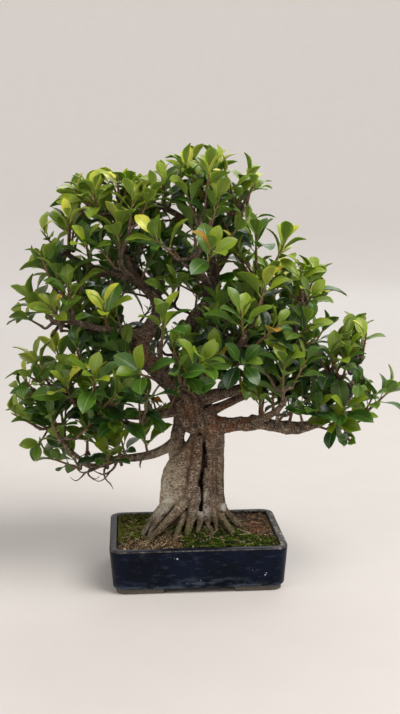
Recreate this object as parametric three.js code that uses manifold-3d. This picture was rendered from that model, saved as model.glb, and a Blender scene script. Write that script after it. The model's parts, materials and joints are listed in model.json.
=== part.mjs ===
// A Chinese banyan (Ficus microcarpa) trained as a bonsai, in its glazed rectangular pot.
// Millimetres, +Z up, +X to the right and +Y to the back as seen from the front.
import * as THREE from "three";
import { mergeVertices } from "three/addons/utils/BufferGeometryUtils.js";
import Module from "manifold-3d";

const wasm = await Module();
wasm.setup();

// Driving dimensions
const POT = {
  width: 200, depth: 155, bottomWidth: 193, bottomDepth: 149, height: 51.5,
  cornerRadius: 16, wall: 8, floorTop: 13, bevel: 1.6, bottomBevel: 1.5, innerBevel: 1,
};
const FOOT = { height: 6, inset: 3, band: 14, innerRadius: 3, frontGap: 76, sideGap: 58, slant: 4 };
const DRAIN = { offset: 52, radius: 8, sides: 12 };
const SCREEN = { side: 30, thick: 1.2, holes: 3, bar: 2.4 };
const GAP = 0.3;
const SOIL = { edgeDrop: 3.5, mound: 11, moundX: 2, moundY: 8, spread: 46, narrowing: 1.15, grit: 0.8 };
const MOSS = { thick: 1.8, swell: [0.96, 2.24] };
const ROOT_HOLE_GAP = 0.5;
const SMOOTHING = 0.25;
const ROOT = { sides: 5, steps: 4 };
const BRANCHLET = {
  rootRadius: 2.6, tipRadius: 1.7, sides: 3, steps: 2, lean: 0.3, rise: 0.35, below: 15, firstSeat: 0.1,
  follow: 0.22, cut: 0.4, soften: 0.6, straight: 0.3, taper: [0.4, 0.75],
};
const TWIG = {
  length: 32, tipRadius: 0.8, bare: 0.22, bud: 5, back: 20, plumb: new THREE.Vector3(0.13, 0.21, 1),
};
const LEAF = {
  count: 7, long: 42, short: 29, width: 0.235, thick: 0.7, fold: 0.22, stalk: 0.16, stalkHalfWidth: 0.6,
  lift: 0.16, openLow: 1.25, openHigh: 0.45, faceAlong: 0.8, faceUp: 0.5,
  swing: 0.35, openSpread: 0.3, twist: 0.7, sizeSpread: 0.24, tries: 14, loosen: 0.3, shrink: 0.02,
  outline: [[0.4, 0.92], [0.74, 0.8], [1, 0], [0.74, -0.8], [0.4, -0.92]],
};
const LEAF_CLEAR = 0.35;
const SIBLING_CLEAR = 0.15;
const THIRD_TURN = 2 * Math.PI / 3;
const TWIG_TURN = THREE.MathUtils.degToRad(137.5) - THIRD_TURN;
const SEED = 20261;

// Limbs of the tree, each a route of [x, y, z, radius] chosen by eye from the front view
const TRUNK_LIMBS = {
  paleLobe: { sides: 12, steps: 9, flute: 0.05, route: [
    [-19, 8, 26, 13], [-20, 7, 62, 18.5], [-21, 6, 88, 19.5], [-20.5, 6, 108, 19], [-18, 7, 121, 17],
    [-10, 8, 135, 13], [-2, 10, 149, 9.6], [6, 12, 164, 9]] },
  rightColumn: { sides: 10, steps: 7, flute: 0.05, route: [
    [23, 10, 26, 12], [23.5, 10, 62, 13.6], [23, 11, 84, 12.2], [23, 12, 112, 11.6], [23, 12, 146, 11.6],
    [19, 12, 168, 14.4], [6, 12, 192, 16]] },
  backCore: { sides: 7, steps: 4, flute: 0, route: [
    [2, 26, 30, 14], [2, 26, 70, 15], [4, 25, 110, 12], [9.5, 22, 156, 9.6], [4, 16, 186, 14]] },
  darkColumn: { sides: 7, steps: 4, flute: 0, route: [
    [-15, 14, 118, 8], [-19.5, 13, 138, 8.4], [-20, 13, 158, 7.8], [-15, 13, 180, 9], [-6, 12, 196, 13]] },
  head: { sides: 9, steps: 3, flute: 0.04, route: [
    [8, 12, 170, 13], [-2, 12, 184, 19.5], [-8, 11, 200, 19.5], [-12, 10, 214, 14]] },
};
const ROOTS = {
  leftRoot: { route: [
    [-16, 4, 104, 7], [-24, 0, 97, 5.4], [-34, -5, 88, 4.6], [-44, -10, 77, 4], [-53, -14, 65, 3.4],
    [-60, -17, 54, 2.9], [-66, -19, 42, 2.5]] },
  middleStrand: { route: [
    [-20, -4, 96, 5.4], [-30, -11, 84, 4.2], [-41, -17, 72, 3.5], [-51, -22, 60, 2.9], [-58, -25, 42, 2.5]] },
  leftStrand: { route: [
    [-4, -7, 98, 6.6], [-15, -15, 86, 5.6], [-27, -21, 74, 4.7], [-40, -26, 63, 3.9], [-52, -31, 52, 3.2],
    [-58, -34, 42, 2.7]] },
  frontLeftRoot: { route: [
    [0, -6, 104, 6], [-1, -14, 90, 7], [-4, -19, 77, 5.6], [-9, -25, 62, 4.2], [-13, -30, 42, 3]] },
  paleRoot: { route: [
    [12, 2, 124, 2.6], [12.5, -3, 108, 3.8], [13, -8, 92, 4.7], [13, -12, 80, 4.9], [12.5, -15, 66, 4],
    [12, -17, 52, 3], [12, -18, 42, 2.6]] },
  frontRoot: { route: [
    [19, -2, 88, 5.4], [20, -10, 74, 4], [23, -17, 60, 3], [26, -23, 42, 2.4]] },
  frontRightRoot: { route: [
    [22, 2, 86, 7.4], [27, -7, 73, 5.2], [34, -15, 62, 3.8], [42, -22, 52, 2.9], [46, -25, 42, 2.5]] },
  rightRoot: { route: [
    [26, 8, 82, 7.4], [36, 3, 70, 5.2], [46, -1, 60, 3.9], [56, -4, 51, 3], [61, -6, 42, 2.5]] },
  backRoot: { route: [
    [0, 32, 82, 10], [-5, 45, 68, 6.4], [-10, 56, 56, 4.4], [-14, 62, 42, 3]] },
  backRightRoot: { route: [
    [18, 26, 80, 9], [30, 38, 66, 5.8], [40, 48, 54, 4], [46, 53, 42, 2.8]] },
  backLeftRoot: { route: [
    [-24, 18, 82, 9], [-38, 28, 67, 5.8], [-50, 36, 55, 4], [-57, 40, 42, 2.8]] },
};
const CUT_STUB = { route: [[22, 0, 78, 6], [29, -9, 80, 4.9], [33, -14, 81, 4.4]] };
const BRANCHES = {
  leftLeader: { sides: 7, steps: 11, route: [
    [-8, 12, 196, 15], [-22, 8, 220, 12.5], [-42, 1, 242, 11], [-58, -3, 260, 10], [-60, -4, 276, 9.4],
    [-50, -1, 292, 8.6], [-40, 4, 308, 7.6], [-42, 6, 323, 6.8], [-54, 6, 336, 6], [-66, 3, 352, 5],
    [-76, -2, 378, 4.2], [-84, -6, 404, 3.4], [-90, -8, 426, 2.6]] },
  rightLeader: { sides: 7, steps: 10, route: [
    [-2, 12, 198, 15], [4, 14, 220, 12.5], [3, 14, 242, 11], [-3, 12, 264, 10], [-5, 10, 282, 9.2],
    [2, 10, 300, 8.6], [14, 12, 314, 7.8], [24, 14, 332, 7], [24, 16, 354, 6.2], [16, 15, 382, 5.2],
    [10, 12, 408, 4.4], [8, 8, 436, 3.4], [6, 4, 456, 2.6]] },
  heavyRightBranch: { sides: 7, steps: 9, route: [
    [8, 12, 172, 13], [34, 10, 173, 9.4], [56, 6, 175, 8.2], [78, 3, 176, 7.8], [96, 0, 173, 7.6],
    [114, -4, 171, 7.4], [130, -6, 173, 6.8], [146, -6, 178, 6], [162, -4, 187, 5.2], [174, -2, 200, 4.6],
    [184, 0, 218, 3.8], [191, 2, 238, 2.8]] },
  tipRightBranch: { sides: 5, steps: 3, route: [
    [162, -4, 187, 4.4], [172, -8, 187, 3.8], [182, -11, 189, 3.2], [192, -13, 193, 2.6]] },
  secondRightBranch: { sides: 5, steps: 5, route: [
    [10, 14, 186, 7], [30, 18, 193, 5.4], [50, 22, 201, 4.8], [72, 28, 209, 4.4], [94, 36, 218, 3.8],
    [114, 46, 228, 3], [126, 52, 240, 2.4]] },
  upperRightBranch: { sides: 6, steps: 6, route: [
    [4, 12, 202, 9], [26, 10, 209, 7.4], [50, 6, 215, 6.4], [74, 0, 224, 5.8], [94, -6, 238, 5.2],
    [108, -8, 260, 4.4], [116, -8, 284, 3.8], [118, -6, 308, 3]] },
  lowLeftBranch: { sides: 5, steps: 6, route: [
    [-22, 12, 152, 7], [-46, 7, 142, 5.2], [-68, 2, 139, 4.8], [-90, -4, 139, 4.4], [-106, -8, 134, 3.8],
    [-120, -11, 133, 3.2], [-134, -13, 140, 2.6]] },
  midLeftBranch: { sides: 5, steps: 6, route: [
    [-16, 10, 196, 9], [-42, 5, 189, 6.6], [-68, 0, 189, 5.6], [-94, -5, 193, 5], [-118, -9, 200, 4.2],
    [-140, -12, 210, 3.4], [-156, -14, 222, 2.6]] },
  leftShelfBranch: { sides: 5, steps: 5, route: [
    [-58, -4, 282, 7], [-82, -10, 286, 5.4], [-106, -14, 291, 4.6], [-130, -16, 298, 3.8],
    [-152, -16, 304, 2.8]] },
  upperLeftBranch: { sides: 5, steps: 5, route: [
    [-58, 6, 342, 5.4], [-82, 4, 350, 4.6], [-106, 2, 357, 4], [-128, 0, 366, 3.4], [-146, -2, 378, 2.6]] },
  crownLeftBranch: { sides: 5, steps: 3, route: [
    [12, 14, 396, 4.8], [-8, 8, 412, 4], [-28, 2, 424, 3.4], [-46, -4, 432, 2.6]] },
  crownRightBranch: { sides: 5, steps: 3, route: [
    [22, 16, 348, 5.6], [36, 12, 368, 4.6], [46, 8, 390, 3.8], [52, 4, 414, 2.8]] },
  peakBranch: { sides: 5, steps: 5, route: [
    [10, 12, 308, 6.6], [34, 10, 318, 5.2], [54, 6, 324, 4.6], [70, 3, 334, 3.8], [80, 1, 346, 2.8]] },
  frontLeftBranch: { sides: 5, steps: 4, route: [
    [-26, 6, 226, 8], [-32, -22, 236, 5.6], [-36, -46, 248, 4.6], [-40, -68, 262, 3.4],
    [-42, -80, 278, 2.6]] },
  frontRightBranch: { sides: 5, steps: 5, route: [
    [4, 14, 246, 8], [18, -14, 252, 5.6], [32, -38, 262, 4.8], [44, -60, 274, 3.8], [52, -74, 290, 2.8]] },
  lowFrontBranch: { sides: 5, steps: 3, route: [
    [70, 4, 178, 6], [80, -22, 188, 4.4], [90, -44, 200, 3.6], [98, -62, 216, 2.6]] },
  highFrontBranch: { sides: 5, steps: 3, route: [
    [20, 14, 326, 6], [14, -12, 342, 4.6], [4, -34, 358, 3.8], [-4, -52, 376, 2.8]] },
  leftFrontBranch: { sides: 5, steps: 3, route: [
    [-56, 5, 338, 4.8], [-66, -18, 346, 4], [-76, -38, 356, 3.4], [-84, -54, 370, 2.6]] },
  lowBackBranch: { sides: 5, steps: 5, route: [
    [-2, 18, 196, 9], [2, 44, 204, 6.6], [2, 68, 214, 5.4], [-4, 90, 226, 4.4], [-10, 108, 242, 3.2]] },
  backLeftBranch: { sides: 5, steps: 5, route: [
    [-44, 2, 246, 8], [-58, 28, 254, 5.8], [-74, 52, 264, 4.8], [-90, 74, 276, 3.8], [-100, 90, 292, 2.8]] },
  backRightBranch: { sides: 5, steps: 5, route: [
    [2, 14, 254, 8], [22, 36, 262, 6], [46, 56, 270, 5], [70, 74, 280, 4], [88, 88, 294, 2.8]] },
  highBackBranch: { sides: 5, steps: 4, route: [
    [24, 15, 336, 6.4], [26, 38, 350, 5], [22, 60, 364, 4.2], [16, 78, 382, 3.4], [10, 90, 400, 2.6]] },
  topBackLeftBranch: { sides: 5, steps: 3, route: [
    [-44, 7, 326, 5.4], [-52, 30, 338, 4.6], [-62, 52, 352, 3.8], [-72, 68, 370, 2.8]] },
};

// Where the leaf clusters stand: the middle of each cluster, chosen by eye
const CLUSTERS = [
  [-4, -6, 460], [24, 10, 462], [-32, -16, 440], [62, 8, 446], [22, -42, 422],
  [-66, 0, 430], [-104, -8, 424], [-84, -44, 402], [-138, 0, 402], [-118, -36, 380], [-158, 4, 362],
  [10, 52, 444], [-44, 62, 428], [44, 80, 404], [-96, 66, 396], [-38, -64, 388], [14, -76, 376],
  [68, -30, 386],
  [-176, -6, 318], [-138, -44, 334], [-150, 54, 344], [-108, 96, 320], [-100, -66, 314],
  [-176, -4, 246], [-142, -46, 226], [-112, -78, 242], [-158, 54, 250],
  [-110, 98, 256], [-160, -16, 184], [-124, 14, 168], [-86, -44, 190],
  [-60, -88, 250], [-38, -88, 302], [-2, -100, 262], [-48, 112, 300], [12, 128, 316], [-2, 122, 256],
  [100, 2, 376], [136, 4, 338], [74, -50, 334], [46, -86, 306], [120, -44, 290], [92, -78, 250],
  [190, 2, 272], [156, -36, 250], [104, 74, 332], [154, 58, 268], [90, 112, 290],
  [218, -14, 208], [166, -36, 194],
];

// A repeatable number from 0 to 1 for a leaf of a cluster, by its place in the order
function chance(cluster, leaf, attempt, channel) {
  let h = SEED ^ Math.imul(cluster + 1, 0x9e3779b1) ^ Math.imul(leaf + 1, 0x85ebca6b);
  h ^= Math.imul(attempt + 1, 0xc2b2ae35) ^ Math.imul(channel + 1, 0x27d4eb2f);
  h = Math.imul(h ^ (h >>> 15), 0x2c1b3c6d);
  h = Math.imul(h ^ (h >>> 12), 0x297a2d39);
  return ((h ^ (h >>> 15)) >>> 0) / 4294967296;
}

// A closed solid ready for cutting and joining, from any three.js geometry
function solidOf(geometry) {
  const plain = new THREE.BufferGeometry();
  plain.setAttribute("position", geometry.getAttribute("position"));
  plain.setIndex(geometry.getIndex());
  const welded = mergeVertices(plain, 1e-4);
  return new wasm.Manifold(new wasm.Mesh({
    numProp: 3,
    vertProperties: Float32Array.from(welded.getAttribute("position").array),
    triVerts: Uint32Array.from(welded.getIndex().array),
  }));
}

function geometryOf(solid) {
  const mesh = solid.getMesh();
  const geometry = new THREE.BufferGeometry();
  geometry.setAttribute("position", new THREE.BufferAttribute(mesh.vertProperties, 3));
  geometry.setIndex(new THREE.BufferAttribute(mesh.triVerts, 1));
  geometry.computeVertexNormals();
  return geometry;
}

function joined(solids) {
  return solids.reduce((whole, next) => whole.add(next));
}

// Corner points of a rectangle with rounded corners, counter-clockwise
const CORNER_STEPS = 5;
function roundedRectangle(halfWidth, halfDepth, radius) {
  const points = [];
  const corners = [[1, 1], [-1, 1], [-1, -1], [1, -1]];
  corners.forEach(([sx, sy], quarter) => {
    for (let step = 0; step <= CORNER_STEPS; step += 1) {
      const angle = (quarter + step / CORNER_STEPS) * Math.PI / 2;
      points.push(new THREE.Vector2(
        sx * (halfWidth - radius) + radius * Math.cos(angle),
        sy * (halfDepth - radius) + radius * Math.sin(angle),
      ));
    }
  });
  return points;
}

// A closed body through rings of equal point counts, its two end rings capped from their middles
function loft(rings) {
  const count = rings[0].length;
  const positions = rings.flat().flatMap((p) => [p.x, p.y, p.z]);
  const first = positions.length / 3;
  [rings[0], rings.at(-1)].forEach((ring) => {
    const middle = ring.reduce((sum, p) => sum.add(p), new THREE.Vector3()).divideScalar(count);
    positions.push(middle.x, middle.y, ring[0].z);
  });
  const index = [];
  for (let j = 0; j < count; j += 1) {
    const next = (j + 1) % count;
    index.push(first, next, j);
    const top = (rings.length - 1) * count;
    index.push(first + 1, top + j, top + next);
    for (let i = 0; i + 1 < rings.length; i += 1) {
      const a = i * count + j;
      const b = i * count + next;
      index.push(a, b, b + count, a, b + count, a + count);
    }
  }
  const geometry = new THREE.BufferGeometry();
  geometry.setAttribute("position", new THREE.Float32BufferAttribute(positions, 3));
  geometry.setIndex(index);
  return geometry;
}

function ringAt(halfWidth, halfDepth, radius, z) {
  return roundedRectangle(halfWidth, halfDepth, radius).map((p) => new THREE.Vector3(p.x, p.y, z));
}

// Half width and half depth of the pot's outside at a height
function potHalfSize(z) {
  const t = THREE.MathUtils.clamp((z - FOOT.height) / (POT.height - FOOT.height), 0, 1);
  return [
    THREE.MathUtils.lerp(POT.bottomWidth, POT.width, t) / 2,
    THREE.MathUtils.lerp(POT.bottomDepth, POT.depth, t) / 2,
  ];
}

function cavityRing(z, clearance) {
  const [halfWidth, halfDepth] = potHalfSize(z);
  const inset = POT.wall + clearance;
  return ringAt(halfWidth - inset, halfDepth - inset, POT.cornerRadius - POT.wall, z);
}

function feet() {
  const [halfWidth, halfDepth] = potHalfSize(FOOT.height);
  const band = new THREE.Shape(roundedRectangle(
    halfWidth - FOOT.inset, halfDepth - FOOT.inset, POT.cornerRadius - FOOT.inset));
  const inner = FOOT.inset + FOOT.band;
  band.holes.push(new THREE.Path(roundedRectangle(halfWidth - inner, halfDepth - inner, FOOT.innerRadius)));
  const ring = new THREE.ExtrudeGeometry(band, {
    depth: FOOT.height + 1, bevelEnabled: false, curveSegments: 1 });
  const notch = (gap, length) => {
    const section = new THREE.Shape([
      new THREE.Vector2(-gap / 2 - FOOT.slant, -1), new THREE.Vector2(gap / 2 + FOOT.slant, -1),
      new THREE.Vector2(gap / 2, FOOT.height), new THREE.Vector2(-gap / 2, FOOT.height)]);
    const prism = new THREE.ExtrudeGeometry(section, { depth: length, bevelEnabled: false });
    prism.translate(0, 0, -length / 2);
    prism.rotateX(Math.PI / 2);
    return prism;
  };
  const across = notch(FOOT.sideGap, POT.width * 2).rotateZ(Math.PI / 2);
  const through = notch(FOOT.frontGap, POT.depth * 2);
  return solidOf(ring).subtract(solidOf(through)).subtract(solidOf(across));
}

function buildPot() {
  const [bottomX, bottomY] = potHalfSize(FOOT.height);
  const [topX, topY] = potHalfSize(POT.height);
  const r = POT.cornerRadius;
  const rim = POT.wall - POT.innerBevel;
  const body = solidOf(loft([
    ringAt(bottomX - POT.bottomBevel, bottomY - POT.bottomBevel, r - POT.bottomBevel, FOOT.height),
    ringAt(bottomX, bottomY, r, FOOT.height + POT.bottomBevel),
    ringAt(topX, topY, r, POT.height - POT.bevel),
    ringAt(topX - POT.bevel, topY - POT.bevel, r - POT.bevel, POT.height),
    ringAt(topX - rim, topY - rim, r - rim, POT.height),
    cavityRing(POT.height - POT.innerBevel, 0),
    cavityRing(POT.floorTop, 0),
  ]));
  const drain = new THREE.CylinderGeometry(DRAIN.radius, DRAIN.radius, POT.floorTop, DRAIN.sides);
  drain.rotateX(Math.PI / 2);
  drain.translate(0, 0, POT.floorTop * 0.6);
  const holes = [-1, 1].map((side) => solidOf(drain.clone().translate(side * DRAIN.offset, 0, 0)));
  return holes.reduce((pot, hole) => pot.subtract(hole), body.add(feet()));
}

function buildScreen() {
  const pitch = (SCREEN.side - SCREEN.bar) / SCREEN.holes;
  const opening = new THREE.BoxGeometry(pitch - SCREEN.bar, pitch - SCREEN.bar, 2 * SCREEN.thick);
  let screen = solidOf(new THREE.BoxGeometry(SCREEN.side, SCREEN.side, SCREEN.thick));
  for (let i = 0; i < SCREEN.holes; i += 1) {
    for (let j = 0; j < SCREEN.holes; j += 1) {
      const x = (i - (SCREEN.holes - 1) / 2) * pitch;
      const y = (j - (SCREEN.holes - 1) / 2) * pitch;
      screen = screen.subtract(solidOf(opening.clone().translate(x, y, 0)));
    }
  }
  return geometryOf(screen);
}

// Height of the soil's surface: level by the walls, heaped round the trunk, grainy all over
const SOIL_RINGS = 6;
const SOIL_SPOKES = 4 * (CORNER_STEPS + 1);
function soilHeight(x, y, grain) {
  const away = ((x - SOIL.moundX) ** 2 + ((y - SOIL.moundY) * SOIL.narrowing) ** 2) / SOIL.spread ** 2;
  return POT.height - SOIL.edgeDrop + SOIL.mound * Math.exp(-away) + SOIL.grit * (grain - 0.5);
}

// Grid of points over the soil, from the middle out to the wall
function soilGrid() {
  const rim = cavityRing(POT.height - SOIL.edgeDrop, GAP);
  const grid = [];
  for (let ring = 1; ring <= SOIL_RINGS; ring += 1) {
    const share = ring / SOIL_RINGS;
    grid.push(rim.map((p, spoke) => {
      const x = SOIL.moundX * (1 - share) + p.x * share;
      const y = SOIL.moundY * (1 - share) + p.y * share;
      return new THREE.Vector3(x, y, soilHeight(x, y, chance(ring, spoke, 0, 0)));
    }));
  }
  return grid;
}

function buildSoil(roots) {
  const grid = soilGrid();
  const rings = [cavityRing(POT.floorTop + GAP, GAP), ...grid.toReversed()];
  const heap = loft(rings);
  const top = heap.getAttribute("position");
  const last = top.count - 1;
  top.setXYZ(last, SOIL.moundX, SOIL.moundY, soilHeight(SOIL.moundX, SOIL.moundY, 0.5));
  const reach = SCREEN.side + 2 * GAP;
  const recess = new THREE.BoxGeometry(reach, reach, 2 * (SCREEN.thick + 2 * GAP));
  const recesses = [-1, 1].map((side) => solidOf(
    recess.clone().translate(side * DRAIN.offset, 0, POT.floorTop)));
  const pierced = solidOf(heap).subtract(roots);
  return recesses.reduce((soil, box) => soil.subtract(box), pierced).simplify(SMOOTHING);
}

// A cushion of moss over the cells of the soil grid that the test picks
function buildMoss(covers, roots, seed) {
  const grid = soilGrid();
  const chosen = [];
  for (let ring = 0; ring + 1 < grid.length - 1; ring += 1) {
    for (let spoke = 0; spoke < SOIL_SPOKES; spoke += 1) {
      const next = (spoke + 1) % SOIL_SPOKES;
      const cell = [grid[ring][spoke], grid[ring + 1][spoke], grid[ring + 1][next], grid[ring][next]];
      const middle = cell.reduce((sum, p) => sum.add(p), new THREE.Vector3()).divideScalar(4);
      if (covers(middle.x, middle.y)) {
        chosen.push([[ring, spoke], [ring + 1, spoke], [ring + 1, next], [ring, next]]);
      }
    }
  }
  const key = ([ring, spoke]) => `${ring}:${spoke}`;
  const uses = new Map();
  chosen.forEach((cell) => cell.forEach((id) => uses.set(key(id), (uses.get(key(id)) ?? 0) + 1)));
  const numbers = new Map([...uses.keys()].map((id, number) => [id, number]));
  const positions = [];
  const addLayer = (lift) => uses.forEach((used, id) => {
    const [ring, spoke] = id.split(":").map(Number);
    const p = grid[ring][spoke];
    positions.push(p.x, p.y, p.z + lift(used, ring, spoke));
  });
  addLayer(() => GAP);
  addLayer((used, ring, spoke) => GAP + MOSS.thick
    + (used === 4 ? THREE.MathUtils.lerp(...MOSS.swell, chance(ring, spoke, seed, 1)) : 0));
  const index = [];
  const edges = new Map();
  chosen.forEach((cell) => {
    const [a, b, c, d] = cell.map((id) => numbers.get(key(id)));
    const up = uses.size;
    index.push(a, d, b, d, c, b);
    index.push(a + up, b + up, d + up, b + up, c + up, d + up);
    [[a, b], [b, c], [c, d], [d, a]].forEach(([from, to]) => edges.set(`${from}:${to}`, [from, to]));
  });
  edges.forEach(([from, to]) => {
    if (!edges.has(`${to}:${from}`)) {
      const up = uses.size;
      index.push(from, to, to + up, from, to + up, from + up);
    }
  });
  const geometry = new THREE.BufferGeometry();
  geometry.setAttribute("position", new THREE.Float32BufferAttribute(positions, 3));
  geometry.setIndex(index);
  return solidOf(geometry).subtract(roots).simplify(SMOOTHING / 2);
}

// A curve through a route's points
function curveOf(route) {
  const points = route.map(([x, y, z]) => new THREE.Vector3(x, y, z));
  return new THREE.CatmullRomCurve3(points, false, "catmullrom", 0.5);
}

// The radius along a route, straight from point to point
function radiusAt(route, t) {
  const place = t * (route.length - 1);
  const low = Math.min(Math.floor(place), route.length - 2);
  return THREE.MathUtils.lerp(route[low][3], route[low + 1][3], place - low);
}

// The world axis along which a route reaches least, a steady reference for the sides of its tube
function steadyAxis(route) {
  const reach = [0, 1, 2].map((axis) => Math.abs(route.at(-1)[axis] - route[0][axis]));
  return new THREE.Vector3().setComponent(reach.indexOf(Math.min(...reach)), 1);
}

// A tapered tube along a route: a cylinder whose rings are carried onto the curve
function tube({ route, sides, steps, flute = 0 }, extra = 0) {
  const curve = curveOf(route);
  const steady = steadyAxis(route);
  const geometry = new THREE.CylinderGeometry(1, 1, 1, sides, steps);
  const position = geometry.getAttribute("position");
  const local = new THREE.Vector3();
  for (let i = 0; i < position.count; i += 1) {
    local.fromBufferAttribute(position, i);
    const t = THREE.MathUtils.clamp(local.y + 0.5, 0, 1);
    const tangent = curve.getTangent(t);
    const side = new THREE.Vector3().crossVectors(tangent, steady).normalize();
    const across = new THREE.Vector3().crossVectors(side, tangent).normalize();
    const angle = Math.atan2(local.z, local.x);
    const swell = 1 + flute * Math.sin(3 * angle + 5 * t) + flute * Math.sin(5 * angle - 3 * t);
    const radius = radiusAt(route, t) * swell + extra;
    const end = (t === 1 ? extra : 0) - (t === 0 ? extra : 0);
    const p = curve.getPoint(t).addScaledVector(tangent, end)
      .addScaledVector(side, local.x * radius).addScaledVector(across, local.z * radius);
    position.setXYZ(i, p.x, p.y, p.z);
  }
  return solidOf(geometry);
}

// The limb that bears a cluster, the point where its branchlet leaves, and the way it grows
const BEARING_SAMPLES = 24;
function nearestSeat(cluster) {
  let best = null;
  Object.values(BRANCHES).forEach(({ route }) => {
    const curve = curveOf(route);
    for (let i = 5; i <= BEARING_SAMPLES; i += 1) {
      const t = i / BEARING_SAMPLES;
      const point = curve.getPoint(t);
      const away = point.distanceTo(cluster) + Math.max(0, point.z - cluster.z + BRANCHLET.below);
      if (!best || away < best.away) {
        best = { away, route, t, distance: point.distanceTo(cluster) };
      }
    }
  });
  const curve = curveOf(best.route);
  const back = BRANCHLET.lean * best.distance / curve.getLength();
  const t = Math.max(best.t - back, BRANCHLET.firstSeat);
  return { start: curve.getPoint(t), tangent: curve.getTangent(t), radius: radiusAt(best.route, t) };
}

// Route of the branchlet to a cluster, and the base and heading of the leafy twig that follows it
function planShoot(cluster) {
  const seat = nearestSeat(cluster);
  const straight = cluster.clone().sub(seat.start);
  const heading = straight.clone().normalize().add(new THREE.Vector3(0, 0, BRANCHLET.rise)).normalize();
  const base = cluster.clone().addScaledVector(heading, -TWIG.back);
  const span = base.distanceTo(seat.start);
  const nearStart = seat.start.clone().addScaledVector(seat.tangent, span * BRANCHLET.follow)
    .lerp(seat.start.clone().lerp(base, BRANCHLET.cut), BRANCHLET.soften);
  const nearEnd = base.clone().addScaledVector(heading, -span * BRANCHLET.straight);
  const root = Math.min(BRANCHLET.rootRadius, seat.radius);
  const [early, late] = BRANCHLET.taper.map((t) => THREE.MathUtils.lerp(root, BRANCHLET.tipRadius, t));
  const route = [
    [...seat.start.toArray(), root],
    [...nearStart.toArray(), early],
    [...nearEnd.toArray(), late],
    [...base.toArray(), BRANCHLET.tipRadius],
  ];
  return { route, base, heading: curveOf(route).getTangent(1).normalize() };
}

// Two directions square to a heading, the first of them level
function frameAcross(heading) {
  const level = new THREE.Vector3().crossVectors(heading, TWIG.plumb).normalize();
  return [level, new THREE.Vector3().crossVectors(heading, level).normalize()];
}

// Rings of the leafy twig: three-sided, each turned on from the last so that the leaves spiral up
function twigRings(shoot, cluster) {
  const [level, across] = frameAcross(shoot.heading);
  const rings = [];
  for (let i = 0; i <= LEAF.count + 1; i += 1) {
    const share = i === 0 ? 0 : THREE.MathUtils.lerp(TWIG.bare, 1, (i - 1) / LEAF.count);
    const radius = THREE.MathUtils.lerp(BRANCHLET.tipRadius, TWIG.tipRadius, share);
    const middle = shoot.base.clone().addScaledVector(shoot.heading, GAP + share * TWIG.length);
    rings.push([0, 1, 2].map((side) => {
      const angle = cluster + i * TWIG_TURN + side * THIRD_TURN;
      return middle.clone().addScaledVector(level, radius * Math.cos(angle))
        .addScaledVector(across, radius * Math.sin(angle));
    }));
  }
  return rings;
}

// The four corners on the twig that a leaf grows from, and the way that side of the twig looks
function leafSeat(shoot, cluster, leaf, rings) {
  const [level, across] = frameAcross(shoot.heading);
  const side = leaf % 3;
  const next = (side + 1) % 3;
  const angle = cluster + (leaf + 1.5) * TWIG_TURN + (side + 0.5) * THIRD_TURN;
  return {
    corners: [rings[leaf + 1][side], rings[leaf + 1][next], rings[leaf + 2][next], rings[leaf + 2][side]],
    outward: level.multiplyScalar(Math.cos(angle)).addScaledVector(across, Math.sin(angle)),
  };
}

// How one leaf stands on its seat: its root, its direction, its upper face and its length
function planLeaf(shoot, cluster, leaf, attempt, seat) {
  const draw = (channel) => chance(cluster, leaf, attempt, channel) - 0.5;
  const share = leaf / (LEAF.count - 1);
  const root = seat.corners.reduce((sum, p) => sum.add(p), new THREE.Vector3()).divideScalar(4);
  const loose = 1 + LEAF.loosen * attempt;
  const outward = seat.outward.clone().applyAxisAngle(shoot.heading, LEAF.swing * loose * draw(0));
  const open = THREE.MathUtils.lerp(LEAF.openLow, LEAF.openHigh, share)
    + LEAF.openSpread * loose * draw(1);
  const direction = outward.multiplyScalar(Math.sin(open)).addScaledVector(shoot.heading, Math.cos(open));
  direction.z += LEAF.lift;
  direction.normalize();
  const face = shoot.heading.clone().multiplyScalar(LEAF.faceAlong);
  face.z += LEAF.faceUp;
  face.addScaledVector(direction, -face.dot(direction)).normalize();
  face.applyAxisAngle(direction, LEAF.twist * draw(2));
  const size = THREE.MathUtils.lerp(LEAF.long, LEAF.short, share) * (1 + LEAF.sizeSpread * draw(3));
  return { root, direction, face, length: size * (1 - LEAF.shrink * attempt) };
}

// The points of a folded blade, its upper outline and then the same at its underside
function leafPoints({ root, direction, face, length }) {
  const sideways = new THREE.Vector3().crossVectors(direction, face).normalize();
  const halfWidth = LEAF.width * length;
  const upper = LEAF.outline.map(([along, out]) => root.clone()
    .addScaledVector(direction, along * length)
    .addScaledVector(sideways, out * halfWidth)
    .addScaledVector(face, Math.abs(out) * halfWidth * LEAF.fold));
  return [...upper, ...upper.map((p) => p.clone().addScaledVector(face, -LEAF.thick))];
}

// Triangles of a blade that grows from four corner points, its own points numbered from first
function leafTriangles([lowLeft, lowRight, highRight, highLeft], first) {
  const count = LEAF.outline.length;
  const numbers = LEAF.outline.map((point, i) => first + i);
  const upper = [highLeft, ...numbers, highRight];
  const lower = [lowLeft, ...numbers.map((number) => number + count), lowRight];
  const tip = (upper.length - 1) / 2;
  const index = [];
  const addPair = (a, b, c) => index.push(upper[a], upper[b], upper[c], lower[a], lower[c], lower[b]);
  for (let i = 1; i < tip; i += 1) {
    addPair(0, i, i + 1);
    addPair(2 * tip, tip + i - 1, tip + i);
  }
  addPair(0, tip, 2 * tip);
  for (let i = 0; i < 2 * tip; i += 1) {
    index.push(upper[i + 1], upper[i], lower[i], upper[i + 1], lower[i], lower[i + 1]);
  }
  return index;
}

function geometryFrom(points, index) {
  const geometry = new THREE.BufferGeometry();
  geometry.setAttribute("position", new THREE.Float32BufferAttribute(points.flatMap((p) => p.toArray()), 3));
  geometry.setIndex(index);
  return geometry;
}

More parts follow.
